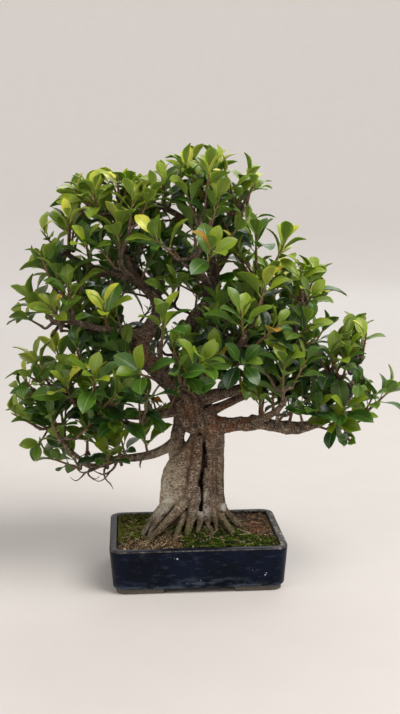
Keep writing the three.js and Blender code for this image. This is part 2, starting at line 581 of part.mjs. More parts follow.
// A blade closed off at its four corners, for measuring how near it comes to other pieces
function leafSolid(corners, leaf) {
  const index = [...leafTriangles([0, 1, 2, 3], 4), 0, 2, 1, 0, 3, 2];
  return solidOf(geometryFrom([...corners, ...leafPoints(leaf)], index));
}

// The same blade without its root, which meets the twig and the roots of its neighbours
function bladeSolid(leaf) {
  const sideways = new THREE.Vector3().crossVectors(leaf.direction, leaf.face).normalize();
  const stalk = leaf.root.clone().addScaledVector(leaf.direction, LEAF.stalk * leaf.length);
  const corner = (out, drop) => stalk.clone().addScaledVector(sideways, out)
    .addScaledVector(leaf.face, -drop * LEAF.thick);
  const half = LEAF.stalkHalfWidth;
  return leafSolid([corner(half, 1), corner(-half, 1), corner(-half, 0), corner(half, 0)], leaf);
}

// A twig with its leaves as one body; each leaf opens out of a side of the twig
function sprayGeometry(rings, leaves) {
  const points = rings.flat();
  const numberOf = (ring, side) => 3 * ring + (side % 3);
  const index = [0, 2, 1];
  for (let ring = 0; ring + 1 < rings.length; ring += 1) {
    for (let side = 0; side < 3; side += 1) {
      const corners = [numberOf(ring, side), numberOf(ring, side + 1),
        numberOf(ring + 1, side + 1), numberOf(ring + 1, side)];
      const grown = leaves.find(({ leaf }) => leaf === ring - 1 && leaf % 3 === side);
      if (grown) {
        index.push(...leafTriangles(corners, points.length));
        points.push(...leafPoints(grown.plan));
      } else {
        index.push(corners[0], corners[1], corners[2], corners[0], corners[2], corners[3]);
      }
    }
  }
  const last = rings.length - 1;
  const [a, b, c] = rings[last];
  const end = a.clone().add(b).add(c).divideScalar(3);
  const square = new THREE.Triangle(a, b, c).getNormal(new THREE.Vector3());
  const budNumber = points.push(end.addScaledVector(square, TWIG.bud)) - 1;
  for (let side = 0; side < 3; side += 1) {
    index.push(numberOf(last, side), numberOf(last, side + 1), budNumber);
  }
  return geometryFrom(points, index);
}

function withBox(owner, solid) {
  return { owner, solid, box: solid.boundingBox() };
}

function boxesMeet(a, b, margin) {
  return [0, 1, 2].every((axis) => a.min[axis] < b.max[axis] + margin && b.min[axis] < a.max[axis] + margin);
}

function isClear(piece, others, clearance) {
  return others.every((other) => !boxesMeet(piece.box, other.box, clearance)
    || piece.solid.minGap(other.solid, 2 * clearance) >= clearance);
}

// Every cluster's twig with its leaves, each leaf turned until it stands clear of its neighbours
function buildSprays(shoots, wood) {
  const rings = shoots.map(twigRings);
  const fixed = [
    ...wood.map((solid) => withBox(-1, solid)),
    ...rings.map((own, owner) => withBox(owner, solidOf(sprayGeometry(own, [])))),
  ];
  const grown = [];
  for (let leaf = LEAF.count - 1; leaf >= 0; leaf -= 1) {
    shoots.forEach((shoot, owner) => {
      const seat = leafSeat(shoot, owner, leaf, rings[owner]);
      for (let attempt = 0; attempt < LEAF.tries; attempt += 1) {
        const plan = planLeaf(shoot, owner, leaf, attempt, seat);
        const whole = withBox(owner, leafSolid(seat.corners, plan));
        const blade = withBox(owner, bladeSolid(plan));
        const strangers = [...fixed, ...grown].filter((other) => other.owner !== owner);
        const siblings = grown.filter((other) => other.owner === owner).map((other) => other.blade);
        if (isClear(whole, strangers, LEAF_CLEAR) && isClear(blade, siblings, SIBLING_CLEAR)) {
          grown.push({ ...whole, leaf, plan, blade });
          break;
        }
      }
    });
  }
  return rings.map((own, owner) => sprayGeometry(own, grown.filter((leaf) => leaf.owner === owner)));
}

const FINISH = {
  glaze: new THREE.MeshStandardMaterial({ color: "#141a2c", roughness: 0.25, metalness: 0 }),
  plastic: new THREE.MeshStandardMaterial({ color: "#26292b", roughness: 0.5, metalness: 0 }),
  soil: new THREE.MeshStandardMaterial({ color: "#6b5a45", roughness: 1, metalness: 0 }),
  moss: new THREE.MeshStandardMaterial({ color: "#4a5a1c", roughness: 1, metalness: 0 }),
  bark: new THREE.MeshStandardMaterial({ color: "#7a6a5a", roughness: 0.9, metalness: 0 }),
  leaf: new THREE.MeshStandardMaterial({ color: "#3c7018", roughness: 0.4, metalness: 0 }),
};

const bonsai = new THREE.Group();
function addPiece(name, geometry, finish, x = 0, z = 0) {
  const mesh = new THREE.Mesh(geometry, finish);
  mesh.name = name;
  mesh.position.set(x, 0, z);
  bonsai.add(mesh);
}

const rootTubes = [...Object.values(ROOTS), CUT_STUB].map((root) => ({ ...ROOT, ...root }));
const groundTubes = [...Object.values(TRUNK_LIMBS), ...rootTubes];
const rootHoles = joined(groundTubes.map((limb) => tube(limb, ROOT_HOLE_GAP)));
const shoots = CLUSTERS.map((place) => planShoot(new THREE.Vector3(...place)));
const woodTubes = [
  ...[...groundTubes, ...Object.values(BRANCHES)].map((limb) => tube(limb)),
  ...shoots.map(({ route }) => tube({ route, sides: BRANCHLET.sides, steps: BRANCHLET.steps })),
];

addPiece("pot", geometryOf(buildPot()), FINISH.glaze);
const screenHeight = POT.floorTop + GAP + SCREEN.thick / 2;
addPiece("drain_screen_left", buildScreen(), FINISH.plastic, -DRAIN.offset, screenHeight);
addPiece("drain_screen_right", buildScreen(), FINISH.plastic, DRAIN.offset, screenHeight);
addPiece("soil", geometryOf(buildSoil(rootHoles)), FINISH.soil);
const backLeft = (x, y) => x < -34 && y > -26 + 0.5 * (x + 60);
const front = (x, y) => x > -22 && y < -14 && y < 34 - 0.7 * x;
addPiece("moss_back_left", geometryOf(buildMoss(backLeft, rootHoles, 1)), FINISH.moss);
addPiece("moss_front", geometryOf(buildMoss(front, rootHoles, 2)), FINISH.moss);
addPiece("trunk", geometryOf(joined(woodTubes).simplify(SMOOTHING)), FINISH.bark);
buildSprays(shoots, woodTubes).forEach((spray, number) => {
  addPiece(`spray_${String(number + 1).padStart(2, "0")}`, spray, FINISH.leaf);
});

// The origin lies under the middle of the whole
const box = new THREE.Box3().setFromObject(bonsai);
const middle = box.getCenter(new THREE.Vector3());
bonsai.position.set(-middle.x, -middle.y, -box.min.z);

export default bonsai;
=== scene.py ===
"""A Chinese banyan (Ficus microcarpa) trained as a bonsai, in its glazed rectangular pot.

Sizes are in millimetres in the pot's own frame, which has the middle of the pot's base at its
origin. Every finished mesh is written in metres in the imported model's frame.
"""

import json
import logging
import math
from dataclasses import dataclass, field
from enum import Enum
from typing import Any, Callable, Iterable, Sequence

import bpy
import numpy as np
from bpy import ops
from mathutils import Matrix, Vector, noise

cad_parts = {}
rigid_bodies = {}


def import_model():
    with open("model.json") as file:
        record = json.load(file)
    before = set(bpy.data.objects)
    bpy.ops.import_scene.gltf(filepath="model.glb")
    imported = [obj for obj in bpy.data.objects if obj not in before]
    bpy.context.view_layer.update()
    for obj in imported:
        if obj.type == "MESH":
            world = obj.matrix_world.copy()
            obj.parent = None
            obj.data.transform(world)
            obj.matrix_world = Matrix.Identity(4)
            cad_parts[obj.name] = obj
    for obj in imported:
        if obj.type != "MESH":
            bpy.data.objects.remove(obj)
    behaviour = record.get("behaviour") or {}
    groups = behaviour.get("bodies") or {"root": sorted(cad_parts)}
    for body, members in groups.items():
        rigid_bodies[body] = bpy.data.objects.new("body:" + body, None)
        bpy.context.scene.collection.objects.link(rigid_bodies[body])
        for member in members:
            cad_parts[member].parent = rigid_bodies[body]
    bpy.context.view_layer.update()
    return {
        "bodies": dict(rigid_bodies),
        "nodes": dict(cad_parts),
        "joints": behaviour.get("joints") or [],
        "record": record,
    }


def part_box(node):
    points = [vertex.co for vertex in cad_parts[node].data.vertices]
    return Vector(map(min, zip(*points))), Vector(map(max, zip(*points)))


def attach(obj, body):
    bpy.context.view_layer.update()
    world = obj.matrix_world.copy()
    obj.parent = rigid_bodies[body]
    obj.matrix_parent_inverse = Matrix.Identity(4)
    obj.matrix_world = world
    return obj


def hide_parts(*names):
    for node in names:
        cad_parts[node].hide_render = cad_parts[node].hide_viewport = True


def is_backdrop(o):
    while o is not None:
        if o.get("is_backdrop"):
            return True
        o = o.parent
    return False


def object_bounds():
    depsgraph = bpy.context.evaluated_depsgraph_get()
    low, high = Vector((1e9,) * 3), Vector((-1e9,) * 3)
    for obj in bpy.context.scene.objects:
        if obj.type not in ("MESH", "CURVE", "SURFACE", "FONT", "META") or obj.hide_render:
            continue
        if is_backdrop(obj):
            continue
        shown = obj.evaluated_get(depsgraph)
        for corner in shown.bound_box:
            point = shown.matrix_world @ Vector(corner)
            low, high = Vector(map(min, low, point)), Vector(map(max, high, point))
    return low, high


LOG = logging.getLogger("bonsai")
Array = np.ndarray
Piece = bpy.types.Object
Material = bpy.types.Material
Spot = tuple[float, float, float]
Route = tuple[tuple[float, float, float, float], ...]
MM = 0.001

# Routes of the wood as (x, y, z, radius), the same as in the part's source
TRUNK_LIMBS: dict[str, Route] = {
    "pale_lobe": ((-19, 8, 26, 13), (-20, 7, 62, 18.5), (-21, 6, 88, 19.5), (-20.5, 6, 108, 19),
         (-18, 7, 121, 17), (-10, 8, 135, 13), (-2, 10, 149, 9.6), (6, 12, 164, 9)),
    "right_column": ((23, 10, 26, 12), (23.5, 10, 62, 13.6), (23, 11, 84, 12.2), (23, 12, 112, 11.6),
         (23, 12, 146, 11.6), (19, 12, 168, 14.4), (6, 12, 192, 16)),
    "back_core": ((2, 26, 30, 14), (2, 26, 70, 15), (4, 25, 110, 12), (9.5, 22, 156, 9.6),
         (4, 16, 186, 14)),
    "dark_column": ((-15, 14, 118, 8), (-19.5, 13, 138, 8.4), (-20, 13, 158, 7.8), (-15, 13, 180, 9),
         (-6, 12, 196, 13)),
    "head": ((8, 12, 170, 13), (-2, 12, 184, 19.5), (-8, 11, 200, 19.5), (-12, 10, 214, 14)),
}
ROOTS: dict[str, Route] = {
    "left_root": ((-16, 4, 104, 7), (-24, 0, 97, 5.4), (-34, -5, 88, 4.6), (-44, -10, 77, 4),
         (-53, -14, 65, 3.4), (-60, -17, 54, 2.9), (-66, -19, 42, 2.5)),
    "middle_strand": ((-20, -4, 96, 5.4), (-30, -11, 84, 4.2), (-41, -17, 72, 3.5), (-51, -22, 60, 2.9),
         (-58, -25, 42, 2.5)),
    "left_strand": ((-4, -7, 98, 6.6), (-15, -15, 86, 5.6), (-27, -21, 74, 4.7), (-40, -26, 63, 3.9),
         (-52, -31, 52, 3.2), (-58, -34, 42, 2.7)),
    "front_left_root": ((0, -6, 104, 6), (-1, -14, 90, 7), (-4, -19, 77, 5.6), (-9, -25, 62, 4.2),
         (-13, -30, 42, 3)),
    "pale_root": ((12, 2, 124, 2.6), (12.5, -3, 108, 3.8), (13, -8, 92, 4.7), (13, -12, 80, 4.9),
         (12.5, -15, 66, 4), (12, -17, 52, 3), (12, -18, 42, 2.6)),
    "front_root": ((19, -2, 88, 5.4), (20, -10, 74, 4), (23, -17, 60, 3), (26, -23, 42, 2.4)),
    "front_right_root": ((22, 2, 86, 7.4), (27, -7, 73, 5.2), (34, -15, 62, 3.8), (42, -22, 52, 2.9),
         (46, -25, 42, 2.5)),
    "right_root": ((26, 8, 82, 7.4), (36, 3, 70, 5.2), (46, -1, 60, 3.9), (56, -4, 51, 3),
         (61, -6, 42, 2.5)),
    "back_root": ((0, 32, 82, 10), (-5, 45, 68, 6.4), (-10, 56, 56, 4.4), (-14, 62, 42, 3)),
    "back_right_root": ((18, 26, 80, 9), (30, 38, 66, 5.8), (40, 48, 54, 4), (46, 53, 42, 2.8)),
    "back_left_root": ((-24, 18, 82, 9), (-38, 28, 67, 5.8), (-50, 36, 55, 4), (-57, 40, 42, 2.8)),
}
BRANCHES: dict[str, Route] = {
    "left_leader": ((-8, 12, 196, 15), (-22, 8, 220, 12.5), (-42, 1, 242, 11), (-58, -3, 260, 10),
         (-60, -4, 276, 9.4), (-50, -1, 292, 8.6), (-40, 4, 308, 7.6), (-42, 6, 323, 6.8),
         (-54, 6, 336, 6), (-66, 3, 352, 5), (-76, -2, 378, 4.2), (-84, -6, 404, 3.4),
         (-90, -8, 426, 2.6)),
    "right_leader": ((-2, 12, 198, 15), (4, 14, 220, 12.5), (3, 14, 242, 11), (-3, 12, 264, 10),
         (-5, 10, 282, 9.2), (2, 10, 300, 8.6), (14, 12, 314, 7.8), (24, 14, 332, 7),
         (24, 16, 354, 6.2), (16, 15, 382, 5.2), (10, 12, 408, 4.4), (8, 8, 436, 3.4), (6, 4, 456, 2.6)),
    "heavy_right_branch": ((8, 12, 172, 13), (34, 10, 173, 9.4), (56, 6, 175, 8.2), (78, 3, 176, 7.8),
         (96, 0, 173, 7.6), (114, -4, 171, 7.4), (130, -6, 173, 6.8), (146, -6, 178, 6),
         (162, -4, 187, 5.2), (174, -2, 200, 4.6), (184, 0, 218, 3.8), (191, 2, 238, 2.8)),
    "tip_right_branch": ((162, -4, 187, 4.4), (172, -8, 187, 3.8), (182, -11, 189, 3.2),
         (192, -13, 193, 2.6)),
    "second_right_branch": ((10, 14, 186, 7), (30, 18, 193, 5.4), (50, 22, 201, 4.8),
         (72, 28, 209, 4.4), (94, 36, 218, 3.8), (114, 46, 228, 3), (126, 52, 240, 2.4)),
    "upper_right_branch": ((4, 12, 202, 9), (26, 10, 209, 7.4), (50, 6, 215, 6.4), (74, 0, 224, 5.8),
         (94, -6, 238, 5.2), (108, -8, 260, 4.4), (116, -8, 284, 3.8), (118, -6, 308, 3)),
    "low_left_branch": ((-22, 12, 152, 7), (-46, 7, 142, 5.2), (-68, 2, 139, 4.8), (-90, -4, 139, 4.4),
         (-106, -8, 134, 3.8), (-120, -11, 133, 3.2), (-134, -13, 140, 2.6)),
    "mid_left_branch": ((-16, 10, 196, 9), (-42, 5, 189, 6.6), (-68, 0, 189, 5.6), (-94, -5, 193, 5),
         (-118, -9, 200, 4.2), (-140, -12, 210, 3.4), (-156, -14, 222, 2.6)),
    "left_shelf_branch": ((-58, -4, 282, 7), (-82, -10, 286, 5.4), (-106, -14, 291, 4.6),
         (-130, -16, 298, 3.8), (-152, -16, 304, 2.8)),
    "upper_left_branch": ((-58, 6, 342, 5.4), (-82, 4, 350, 4.6), (-106, 2, 357, 4),
         (-128, 0, 366, 3.4), (-146, -2, 378, 2.6)),
    "crown_left_branch": ((12, 14, 396, 4.8), (-8, 8, 412, 4), (-28, 2, 424, 3.4), (-46, -4, 432, 2.6)),
    "crown_right_branch": ((22, 16, 348, 5.6), (36, 12, 368, 4.6), (46, 8, 390, 3.8), (52, 4, 414, 2.8)),
    "peak_branch": ((10, 12, 308, 6.6), (34, 10, 318, 5.2), (54, 6, 324, 4.6), (70, 3, 334, 3.8),
         (80, 1, 346, 2.8)),
    "front_left_branch": ((-26, 6, 226, 8), (-32, -22, 236, 5.6), (-36, -46, 248, 4.6),
         (-40, -68, 262, 3.4), (-42, -80, 278, 2.6)),
    "front_right_branch": ((4, 14, 246, 8), (18, -14, 252, 5.6), (32, -38, 262, 4.8),
         (44, -60, 274, 3.8), (52, -74, 290, 2.8)),
    "low_front_branch": ((70, 4, 178, 6), (80, -22, 188, 4.4), (90, -44, 200, 3.6), (98, -62, 216, 2.6)),
    "high_front_branch": ((20, 14, 326, 6), (14, -12, 342, 4.6), (4, -34, 358, 3.8),
         (-4, -52, 376, 2.8)),
    "left_front_branch": ((-56, 5, 338, 4.8), (-66, -18, 346, 4), (-76, -38, 356, 3.4),
         (-84, -54, 370, 2.6)),
    "low_back_branch": ((-2, 18, 196, 9), (2, 44, 204, 6.6), (2, 68, 214, 5.4), (-4, 90, 226, 4.4),
         (-10, 108, 242, 3.2)),
    "back_left_branch": ((-44, 2, 246, 8), (-58, 28, 254, 5.8), (-74, 52, 264, 4.8),
         (-90, 74, 276, 3.8), (-100, 90, 292, 2.8)),
    "back_right_branch": ((2, 14, 254, 8), (22, 36, 262, 6), (46, 56, 270, 5), (70, 74, 280, 4),
         (88, 88, 294, 2.8)),
    "high_back_branch": ((24, 15, 336, 6.4), (26, 38, 350, 5), (22, 60, 364, 4.2), (16, 78, 382, 3.4),
         (10, 90, 400, 2.6)),
    "top_back_left_branch": ((-44, 7, 326, 5.4), (-52, 30, 338, 4.6), (-62, 52, 352, 3.8),
         (-72, 68, 370, 2.8)),
}
CUT_STUB: Route = ((22, 0, 78, 6), (29, -9, 80, 4.9), (33, -14, 81, 4.4))
CLUSTERS: tuple[Spot, ...] = (
    (-4, -6, 460), (24, 10, 462), (-32, -16, 440), (62, 8, 446), (22, -42, 422), (-66, 0, 430),
    (-104, -8, 424), (-84, -44, 402), (-138, 0, 402), (-118, -36, 380), (-158, 4, 362), (10, 52, 444),
    (-44, 62, 428), (44, 80, 404), (-96, 66, 396), (-38, -64, 388), (14, -76, 376), (68, -30, 386),
    (-176, -6, 318), (-138, -44, 334), (-150, 54, 344), (-108, 96, 320), (-100, -66, 314),
    (-176, -4, 246), (-142, -46, 226), (-112, -78, 242), (-158, 54, 250), (-110, 98, 256),
    (-160, -16, 184), (-124, 14, 168), (-86, -44, 190), (-60, -88, 250), (-38, -88, 302),
    (-2, -100, 262), (-48, 112, 300), (12, 128, 316), (-2, 122, 256), (100, 2, 376), (136, 4, 338),
    (74, -50, 334), (46, -86, 306), (120, -44, 290), (92, -78, 250), (190, 2, 272), (156, -36, 250),
    (104, 74, 332), (154, 58, 268), (90, 112, 290), (218, -14, 208), (166, -36, 194),
)

# Bare twigs and stubs that bear no leaves
TWIGLETS: tuple[Route, ...] = (
    ((-90, -4, 139, 2.0), (-93, -9, 131, 1.5), (-99, -13, 126, 1.2),
     (-108, -16, 124, 0.9), (-121, -17, 132, 0.3)),
    ((-100, -6.6, 136, 1.9), (-105, -12, 128, 1.3), (-104, -16, 119, 1.0),
     (-98, -18, 113, 0.7), (-95, -19, 107, 0.3)),
    ((-109, -8.7, 133, 1.9), (-117, -13, 129, 1.3), (-129, -15, 126, 1.0),
     (-136, -13, 131, 0.8), (-132, -10, 140, 0.3)),
    ((-78, -0.8, 139, 1.8), (-80, -8, 145, 1.3), (-86, -13, 151, 1.0),
     (-94, -16, 153, 0.8), (-102, -17, 159, 0.3)),
    ((-62, 3, 139.5, 1.5), (-63, 0, 134, 1.1), (-64, -2, 130, 0.9), (-63, -3, 127, 0.4)),
    ((-117, -10.5, 132.6, 1.7), (-124, -8, 125, 1.2), (-121, -4, 118, 1.0),
     (-115, -2, 115, 0.7), (-111, -3, 119, 0.3)),
    ((-84, -2.4, 139, 1.7), (-88, 3, 147, 1.2), (-96, 6, 153, 0.9),
     (-105, 6, 155, 0.7), (-112, 4, 161, 0.3)),
    ((-99, -13, 126, 1.1), (-104, -17, 120, 0.8), (-111, -20, 117, 0.7), (-119, -20, 120, 0.25)),
    ((-126, -14.6, 127, 1.0), (-132, -18, 121, 0.8), (-138, -19, 118, 0.6), (-144, -17, 122, 0.25)),
    ((-94, -16, 153, 0.8), (-98, -21, 149, 0.6), (-104, -23, 150, 0.5), (-109, -23, 147, 0.25)),
    ((139.6, -6.2, 175.6, 2.4), (146, -12, 183, 1.7), (150, -16, 193, 1.3),
     (157, -18, 202, 1.0), (160, -20, 214, 0.5)),
    ((122, -5.2, 171.6, 2.6), (124, -12, 180, 1.8), (121, -18, 191, 1.4),
     (127, -22, 201, 1.1), (130, -24, 214, 0.5)),
    ((93.3, 0.5, 173.4, 2.4), (97, -8, 181, 1.7), (104, -12, 190, 1.3),
     (108, -15, 201, 1.0), (105, -18, 214, 0.5)),
    ((157.5, -4.7, 183.9, 2.0), (166, -9, 180, 1.3), (174, -12, 178, 1.0),
     (181, -13, 180, 0.7), (187, -14, 178, 0.3)),
    ((84.6, -3.2, 230.2, 2.2), (92, -12, 226, 1.5), (98, -19, 229, 1.1),
     (103, -26, 226, 0.8), (111, -30, 230, 0.3)),
    ((-60, 5, 343, 2.0), (-66, -4, 336, 1.4), (-75, -9, 334, 1.0),
     (-83, -12, 328, 0.8), (-92, -13, 329, 0.3)),
)

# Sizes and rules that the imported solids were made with, repeated so that the fine pieces fit them
POT_WIDTH, POT_DEPTH, POT_HEIGHT = 200.0, 155.0, 51.5
POT_BASE_WIDTH, POT_BASE_DEPTH = 193.0, 149.0
CORNER_RADIUS, WALL, FLOOR_TOP, FOOT_HEIGHT = 16.0, 8.0, 13.0, 6.0
GAP = 0.3
SEED = 20261
THIRD_TURN = 2 * math.pi / 3
TWIG_TURN = math.radians(137.5) - THIRD_TURN
LEAF_COUNT, LEAF_TRIES = 7, 14
TWIG_LENGTH, TWIG_ROOT, TWIG_TIP, TWIG_BARE, TWIG_BACK = 32.0, 1.7, 0.8, 0.22, 20.0
PLUMB = np.array([0.13, 0.21, 1.0])


def chance(cluster: int, leaf: int, attempt: int, channel: int) -> float:
    """Gives a repeatable number from 0 to 1 by its place in the order.

    Args:
        cluster: Number of the cluster.
        leaf: Number of the leaf on its twig.
        attempt: Number of the try for that leaf.
        channel: Which of the leaf's draws it is.

    Returns:
        The draw, the same on every run.
    """
    mask = 0xFFFFFFFF
    h = SEED ^ ((cluster + 1) * 0x9E3779B1 & mask) ^ ((leaf + 1) * 0x85EBCA6B & mask)
    h ^= ((attempt + 1) * 0xC2B2AE35 & mask) ^ ((channel + 1) * 0x27D4EB2F & mask)
    h = (h ^ (h >> 15)) * 0x2C1B3C6D & mask
    h = (h ^ (h >> 12)) * 0x297A2D39 & mask
    return (h ^ (h >> 15)) / 4294967296


def unit(vectors: Array) -> Array:
    """Gives vectors of length one."""
    size = np.linalg.norm(vectors, axis=-1, keepdims=True)
    return vectors / np.maximum(size, 1e-12)


def distances(points: Array, others: Array) -> Array:
    """Gives the distance from each point to each of the others."""
    return np.linalg.norm(others[None] - points[:, None], axis=2)


def turned(vector: Array, axis: Array, angle: float) -> Array:
    """Turns a vector about an axis of length one by an angle in radians."""
    cos, sin = math.cos(angle), math.sin(angle)
    return vector * cos + np.cross(axis, vector) * sin + axis * float(axis @ vector) * (1 - cos)


def linear(colour: str) -> tuple[float, float, float, float]:
    """Turns an sRGB hex colour to the linear values that a shader takes."""
    parts = [int(colour[i:i + 2], 16) / 255 for i in (1, 3, 5)]
    red, green, blue = (p / 12.92 if p <= 0.04045 else ((p + 0.055) / 1.055) ** 2.4 for p in parts)
    return (red, green, blue, 1.0)


def bumps(points: Array, size: float | Spot, shift: Spot = (0, 0, 0)) -> Array:
    """Gives smooth noise at points, in lumps of about a size in millimetres."""
    return np.array([noise.noise(Vector(p)) for p in points / size + shift])


def lumps_at(x: float, y: float, size: float, level: float) -> float:
    """Gives smooth noise over the soil, in lumps of about a size in millimetres."""
    return noise.noise(Vector((x / size, y / size, level)))


class Course:
    """A smooth curve through a route's points, with the radius along it.

    Args:
        route: Points of the curve with the radius at each.
    """

    def __init__(self, route: Route) -> None:
        """Keeps the route and the points past its ends that the curve needs."""
        table = np.asarray(route, float)
        self.places, self.radii = table[:, :3], table[:, 3]
        before = 2 * self.places[0] - self.places[1]
        after = 2 * self.places[-1] - self.places[-2]
        self.padded = np.vstack([before, self.places, after])

    def _split(self, t: Array) -> tuple[Array, Array]:
        """Gives the stretch that each share of the way falls in, and the share within it."""
        place = np.clip(np.atleast_1d(t), 0, 1) * (len(self.places) - 1)
        low = np.minimum(place.astype(int), len(self.places) - 2)
        return low, place - low

    def at(self, t: Array | float) -> Array:
        """Gives the points at shares of the way along the curve."""
        low, share = self._split(t)
        w = share[:, None]
        p0, p1, p2, p3 = (self.padded[low + k] for k in range(4))
        leave, arrive = (p2 - p0) / 2, (p3 - p1) / 2
        bend = -3 * p1 + 3 * p2 - 2 * leave - arrive
        return p1 + leave * w + bend * w ** 2 + (2 * p1 - 2 * p2 + leave + arrive) * w ** 3

    def tangent(self, t: Array | float) -> Array:
        """Gives the directions of the curve at shares of the way along it."""
        step = 0.0001
        t = np.atleast_1d(t)
        return unit(self.at(np.minimum(t + step, 1)) - self.at(np.maximum(t - step, 0)))

    def radius(self, t: Array | float) -> Array:
        """Gives the radii at shares of the way, straight from point to point."""
        low, share = self._split(t)
        return self.radii[low] * (1 - share) + self.radii[low + 1] * share

    def sides(self, tangent: Array) -> tuple[Array, Array]:
        """Gives two directions square to the curve, steady along it."""
        reach = np.abs(self.places[-1] - self.places[0])
        side = unit(np.cross(tangent, np.eye(3)[int(np.argmin(reach))]))
        return side, unit(np.cross(side, tangent))

    def length(self) -> float:
        """Gives the length of the curve."""
        points = self.at(np.linspace(0, 1, 201))
        return float(np.linalg.norm(np.diff(points, axis=0), axis=1).sum())


@dataclass
class Shoot:
    """A branchlet that ends in a leafy twig.

    Attributes:
        number: Place in the order, which the draws go by.
        route: Points of the branchlet from its limb to the twig.
        base: Where the leafy twig starts.
        heading: The way the twig grows.
    """

    number: int
    route: Route
    base: Array
    heading: Array

    def across(self) -> tuple[Array, Array]:
        """Gives two directions square to the heading, the first of them level."""
        level = unit(np.cross(self.heading, PLUMB))
        return level, unit(np.cross(self.heading, level))

    def rings(self) -> Array:
        """Gives the three-sided rings of the twig that the leaves grow from."""
        level, across = self.across()
        rings = []
        for i in range(LEAF_COUNT + 2):
            share = 0.0 if i == 0 else TWIG_BARE + (1 - TWIG_BARE) * (i - 1) / LEAF_COUNT
            radius = TWIG_ROOT + (TWIG_TIP - TWIG_ROOT) * share
            middle = self.base + self.heading * (GAP + share * TWIG_LENGTH)
            angles = [self.number + i * TWIG_TURN + side * THIRD_TURN for side in range(3)]
            rings.append([middle + (level * math.cos(a) + across * math.sin(a)) * radius for a in angles])
        return np.array(rings)


class Seats:
    """The places on the limbs that a branchlet can leave from.

    Args:
        routes: Routes of the limbs.
    """

    SAMPLES = 24
    FIRST = 5
    BELOW = 15.0

    def __init__(self, routes: Iterable[Route]) -> None:
        """Samples every limb once."""
        self.courses: list[Course] = []
        self.points = np.zeros((0, 3))
        self.owners = np.zeros((0, 2))
        for route in routes:
            self.add(route)

    def add(self, route: Route) -> None:
        """Adds a limb or branchlet to grow from."""
        course = Course(route)
        shares = np.arange(self.FIRST, self.SAMPLES + 1) / self.SAMPLES
        owner = np.full_like(shares, len(self.courses))
        self.courses.append(course)
        self.points = np.vstack([self.points, course.at(shares)])
        self.owners = np.vstack([self.owners, np.stack([owner, shares], 1)])

    def nearest(self, spot: Array) -> tuple[Array, Array, float]:
        """Finds where the branchlet to a spot leaves the wood.

        Args:
            spot: Middle of the cluster.

        Returns:
            The point on the limb, the limb's direction there and its radius.
        """
        away = np.linalg.norm(self.points - spot, axis=1)
        cost = away + np.maximum(0, self.points[:, 2] - spot[2] + self.BELOW)
        best = int(np.argmin(cost))
        course = self.courses[int(self.owners[best, 0])]
        back = 0.3 * away[best] / course.length()
        t = max(self.owners[best, 1] - back, 0.1)
        return course.at(t)[0], course.tangent(t)[0], float(course.radius(t)[0])

    def shoot(self, number: int, spot: Spot | Array, thickest: float = 2.6) -> Shoot:
        """Plans the branchlet to a spot and the twig that follows it.

        Args:
            number: Place of the shoot in the order.
            spot: Middle of the cluster.
            thickest: Largest radius at the branchlet's root.

        Returns:
            The shoot.
        """
        spot = np.asarray(spot, float)
        start, tangent, limb = self.nearest(spot)
        heading = unit(unit(spot - start) + np.array([0, 0, 0.35]))
        base = spot - heading * TWIG_BACK
        span = float(np.linalg.norm(base - start))
        forward = start + tangent * span * 0.22
        near_start = forward + (start + (base - start) * 0.4 - forward) * 0.6
        near_end = base - heading * span * 0.3
        root = min(thickest, limb)
        radii = [root + (TWIG_ROOT - root) * share for share in (0, 0.4, 0.75, 1)]
        route = tuple((*p, r) for p, r in zip((start, near_start, near_end, base), radii))
        return Shoot(number, route, base, Course(route).tangent(1.0)[0])


@dataclass
class Leaf:
    """How one leaf stands on its twig.

    Attributes:
        root: Where its stalk leaves the twig.
        direction: From its root to its tip.
        face: The way its upper side looks.
        length: From root to tip.
        key: Its cluster and its number on the twig, which its draws go by.
        youth_and_light: 0 for a dark leaf, old and in painted shade, to 1 for a fresh one in painted light.
    """

    root: Array
    direction: Array
    face: Array
    length: float
    key: tuple[int, int]
    youth_and_light: float = 0.5

    @property
    def tip(self) -> Array:
        """The tip of the leaf."""
        return self.root + self.direction * self.length

    @property
    def sideways(self) -> Array:
        """The direction across the leaf."""
        return unit(np.cross(self.direction, self.face))


def plan_leaf(shoot: Shoot, rings: Array, leaf: int, attempt: int) -> Leaf:
    """Plans a leaf of a shoot by the seeded rule.

    Args:
        shoot: The shoot that bears it.
        rings: The shoot's rings.
        leaf: Number of the leaf, from the lowest.
        attempt: Number of the try.

    Returns:
        The leaf.
    """
    level, across = shoot.across()
    side = leaf % 3
    turn = shoot.number + (leaf + 1.5) * TWIG_TURN + (side + 0.5) * THIRD_TURN
    following = (side + 1) % 3
    corners = [rings[leaf + 1][side], rings[leaf + 1][following],
               rings[leaf + 2][following], rings[leaf + 2][side]]
    draws = [chance(shoot.number, leaf, attempt, channel) - 0.5 for channel in range(4)]
    share = leaf / (LEAF_COUNT - 1)
    loose = 1 + 0.3 * attempt
    outward = level * math.cos(turn) + across * math.sin(turn)
    outward = turned(outward, shoot.heading, 0.35 * loose * draws[0])
    opening = 1.25 + (0.45 - 1.25) * share + 0.3 * loose * draws[1]
    direction = outward * math.sin(opening) + shoot.heading * math.cos(opening)
    direction = unit(direction + np.array([0, 0, 0.16]))
    face = shoot.heading * 0.8 + np.array([0, 0, 0.5])
    face = unit(face - direction * float(face @ direction))
    face = turned(face, direction, 0.7 * draws[2])
    size = (42 + (29 - 42) * share) * (1 + 0.24 * draws[3])
    return Leaf(np.mean(corners, 0), direction, face, size * (1 - 0.02 * attempt), (shoot.number, leaf))


# Making and handing over meshes

class Slot(Enum):
    """Material slots of the record, one for each kind of piece made here."""

    POT = "glazed_pot"
    SOIL = "soil"
    MOSS = "moss"
    BARK = "bark"
    LEAVES = "leaves"


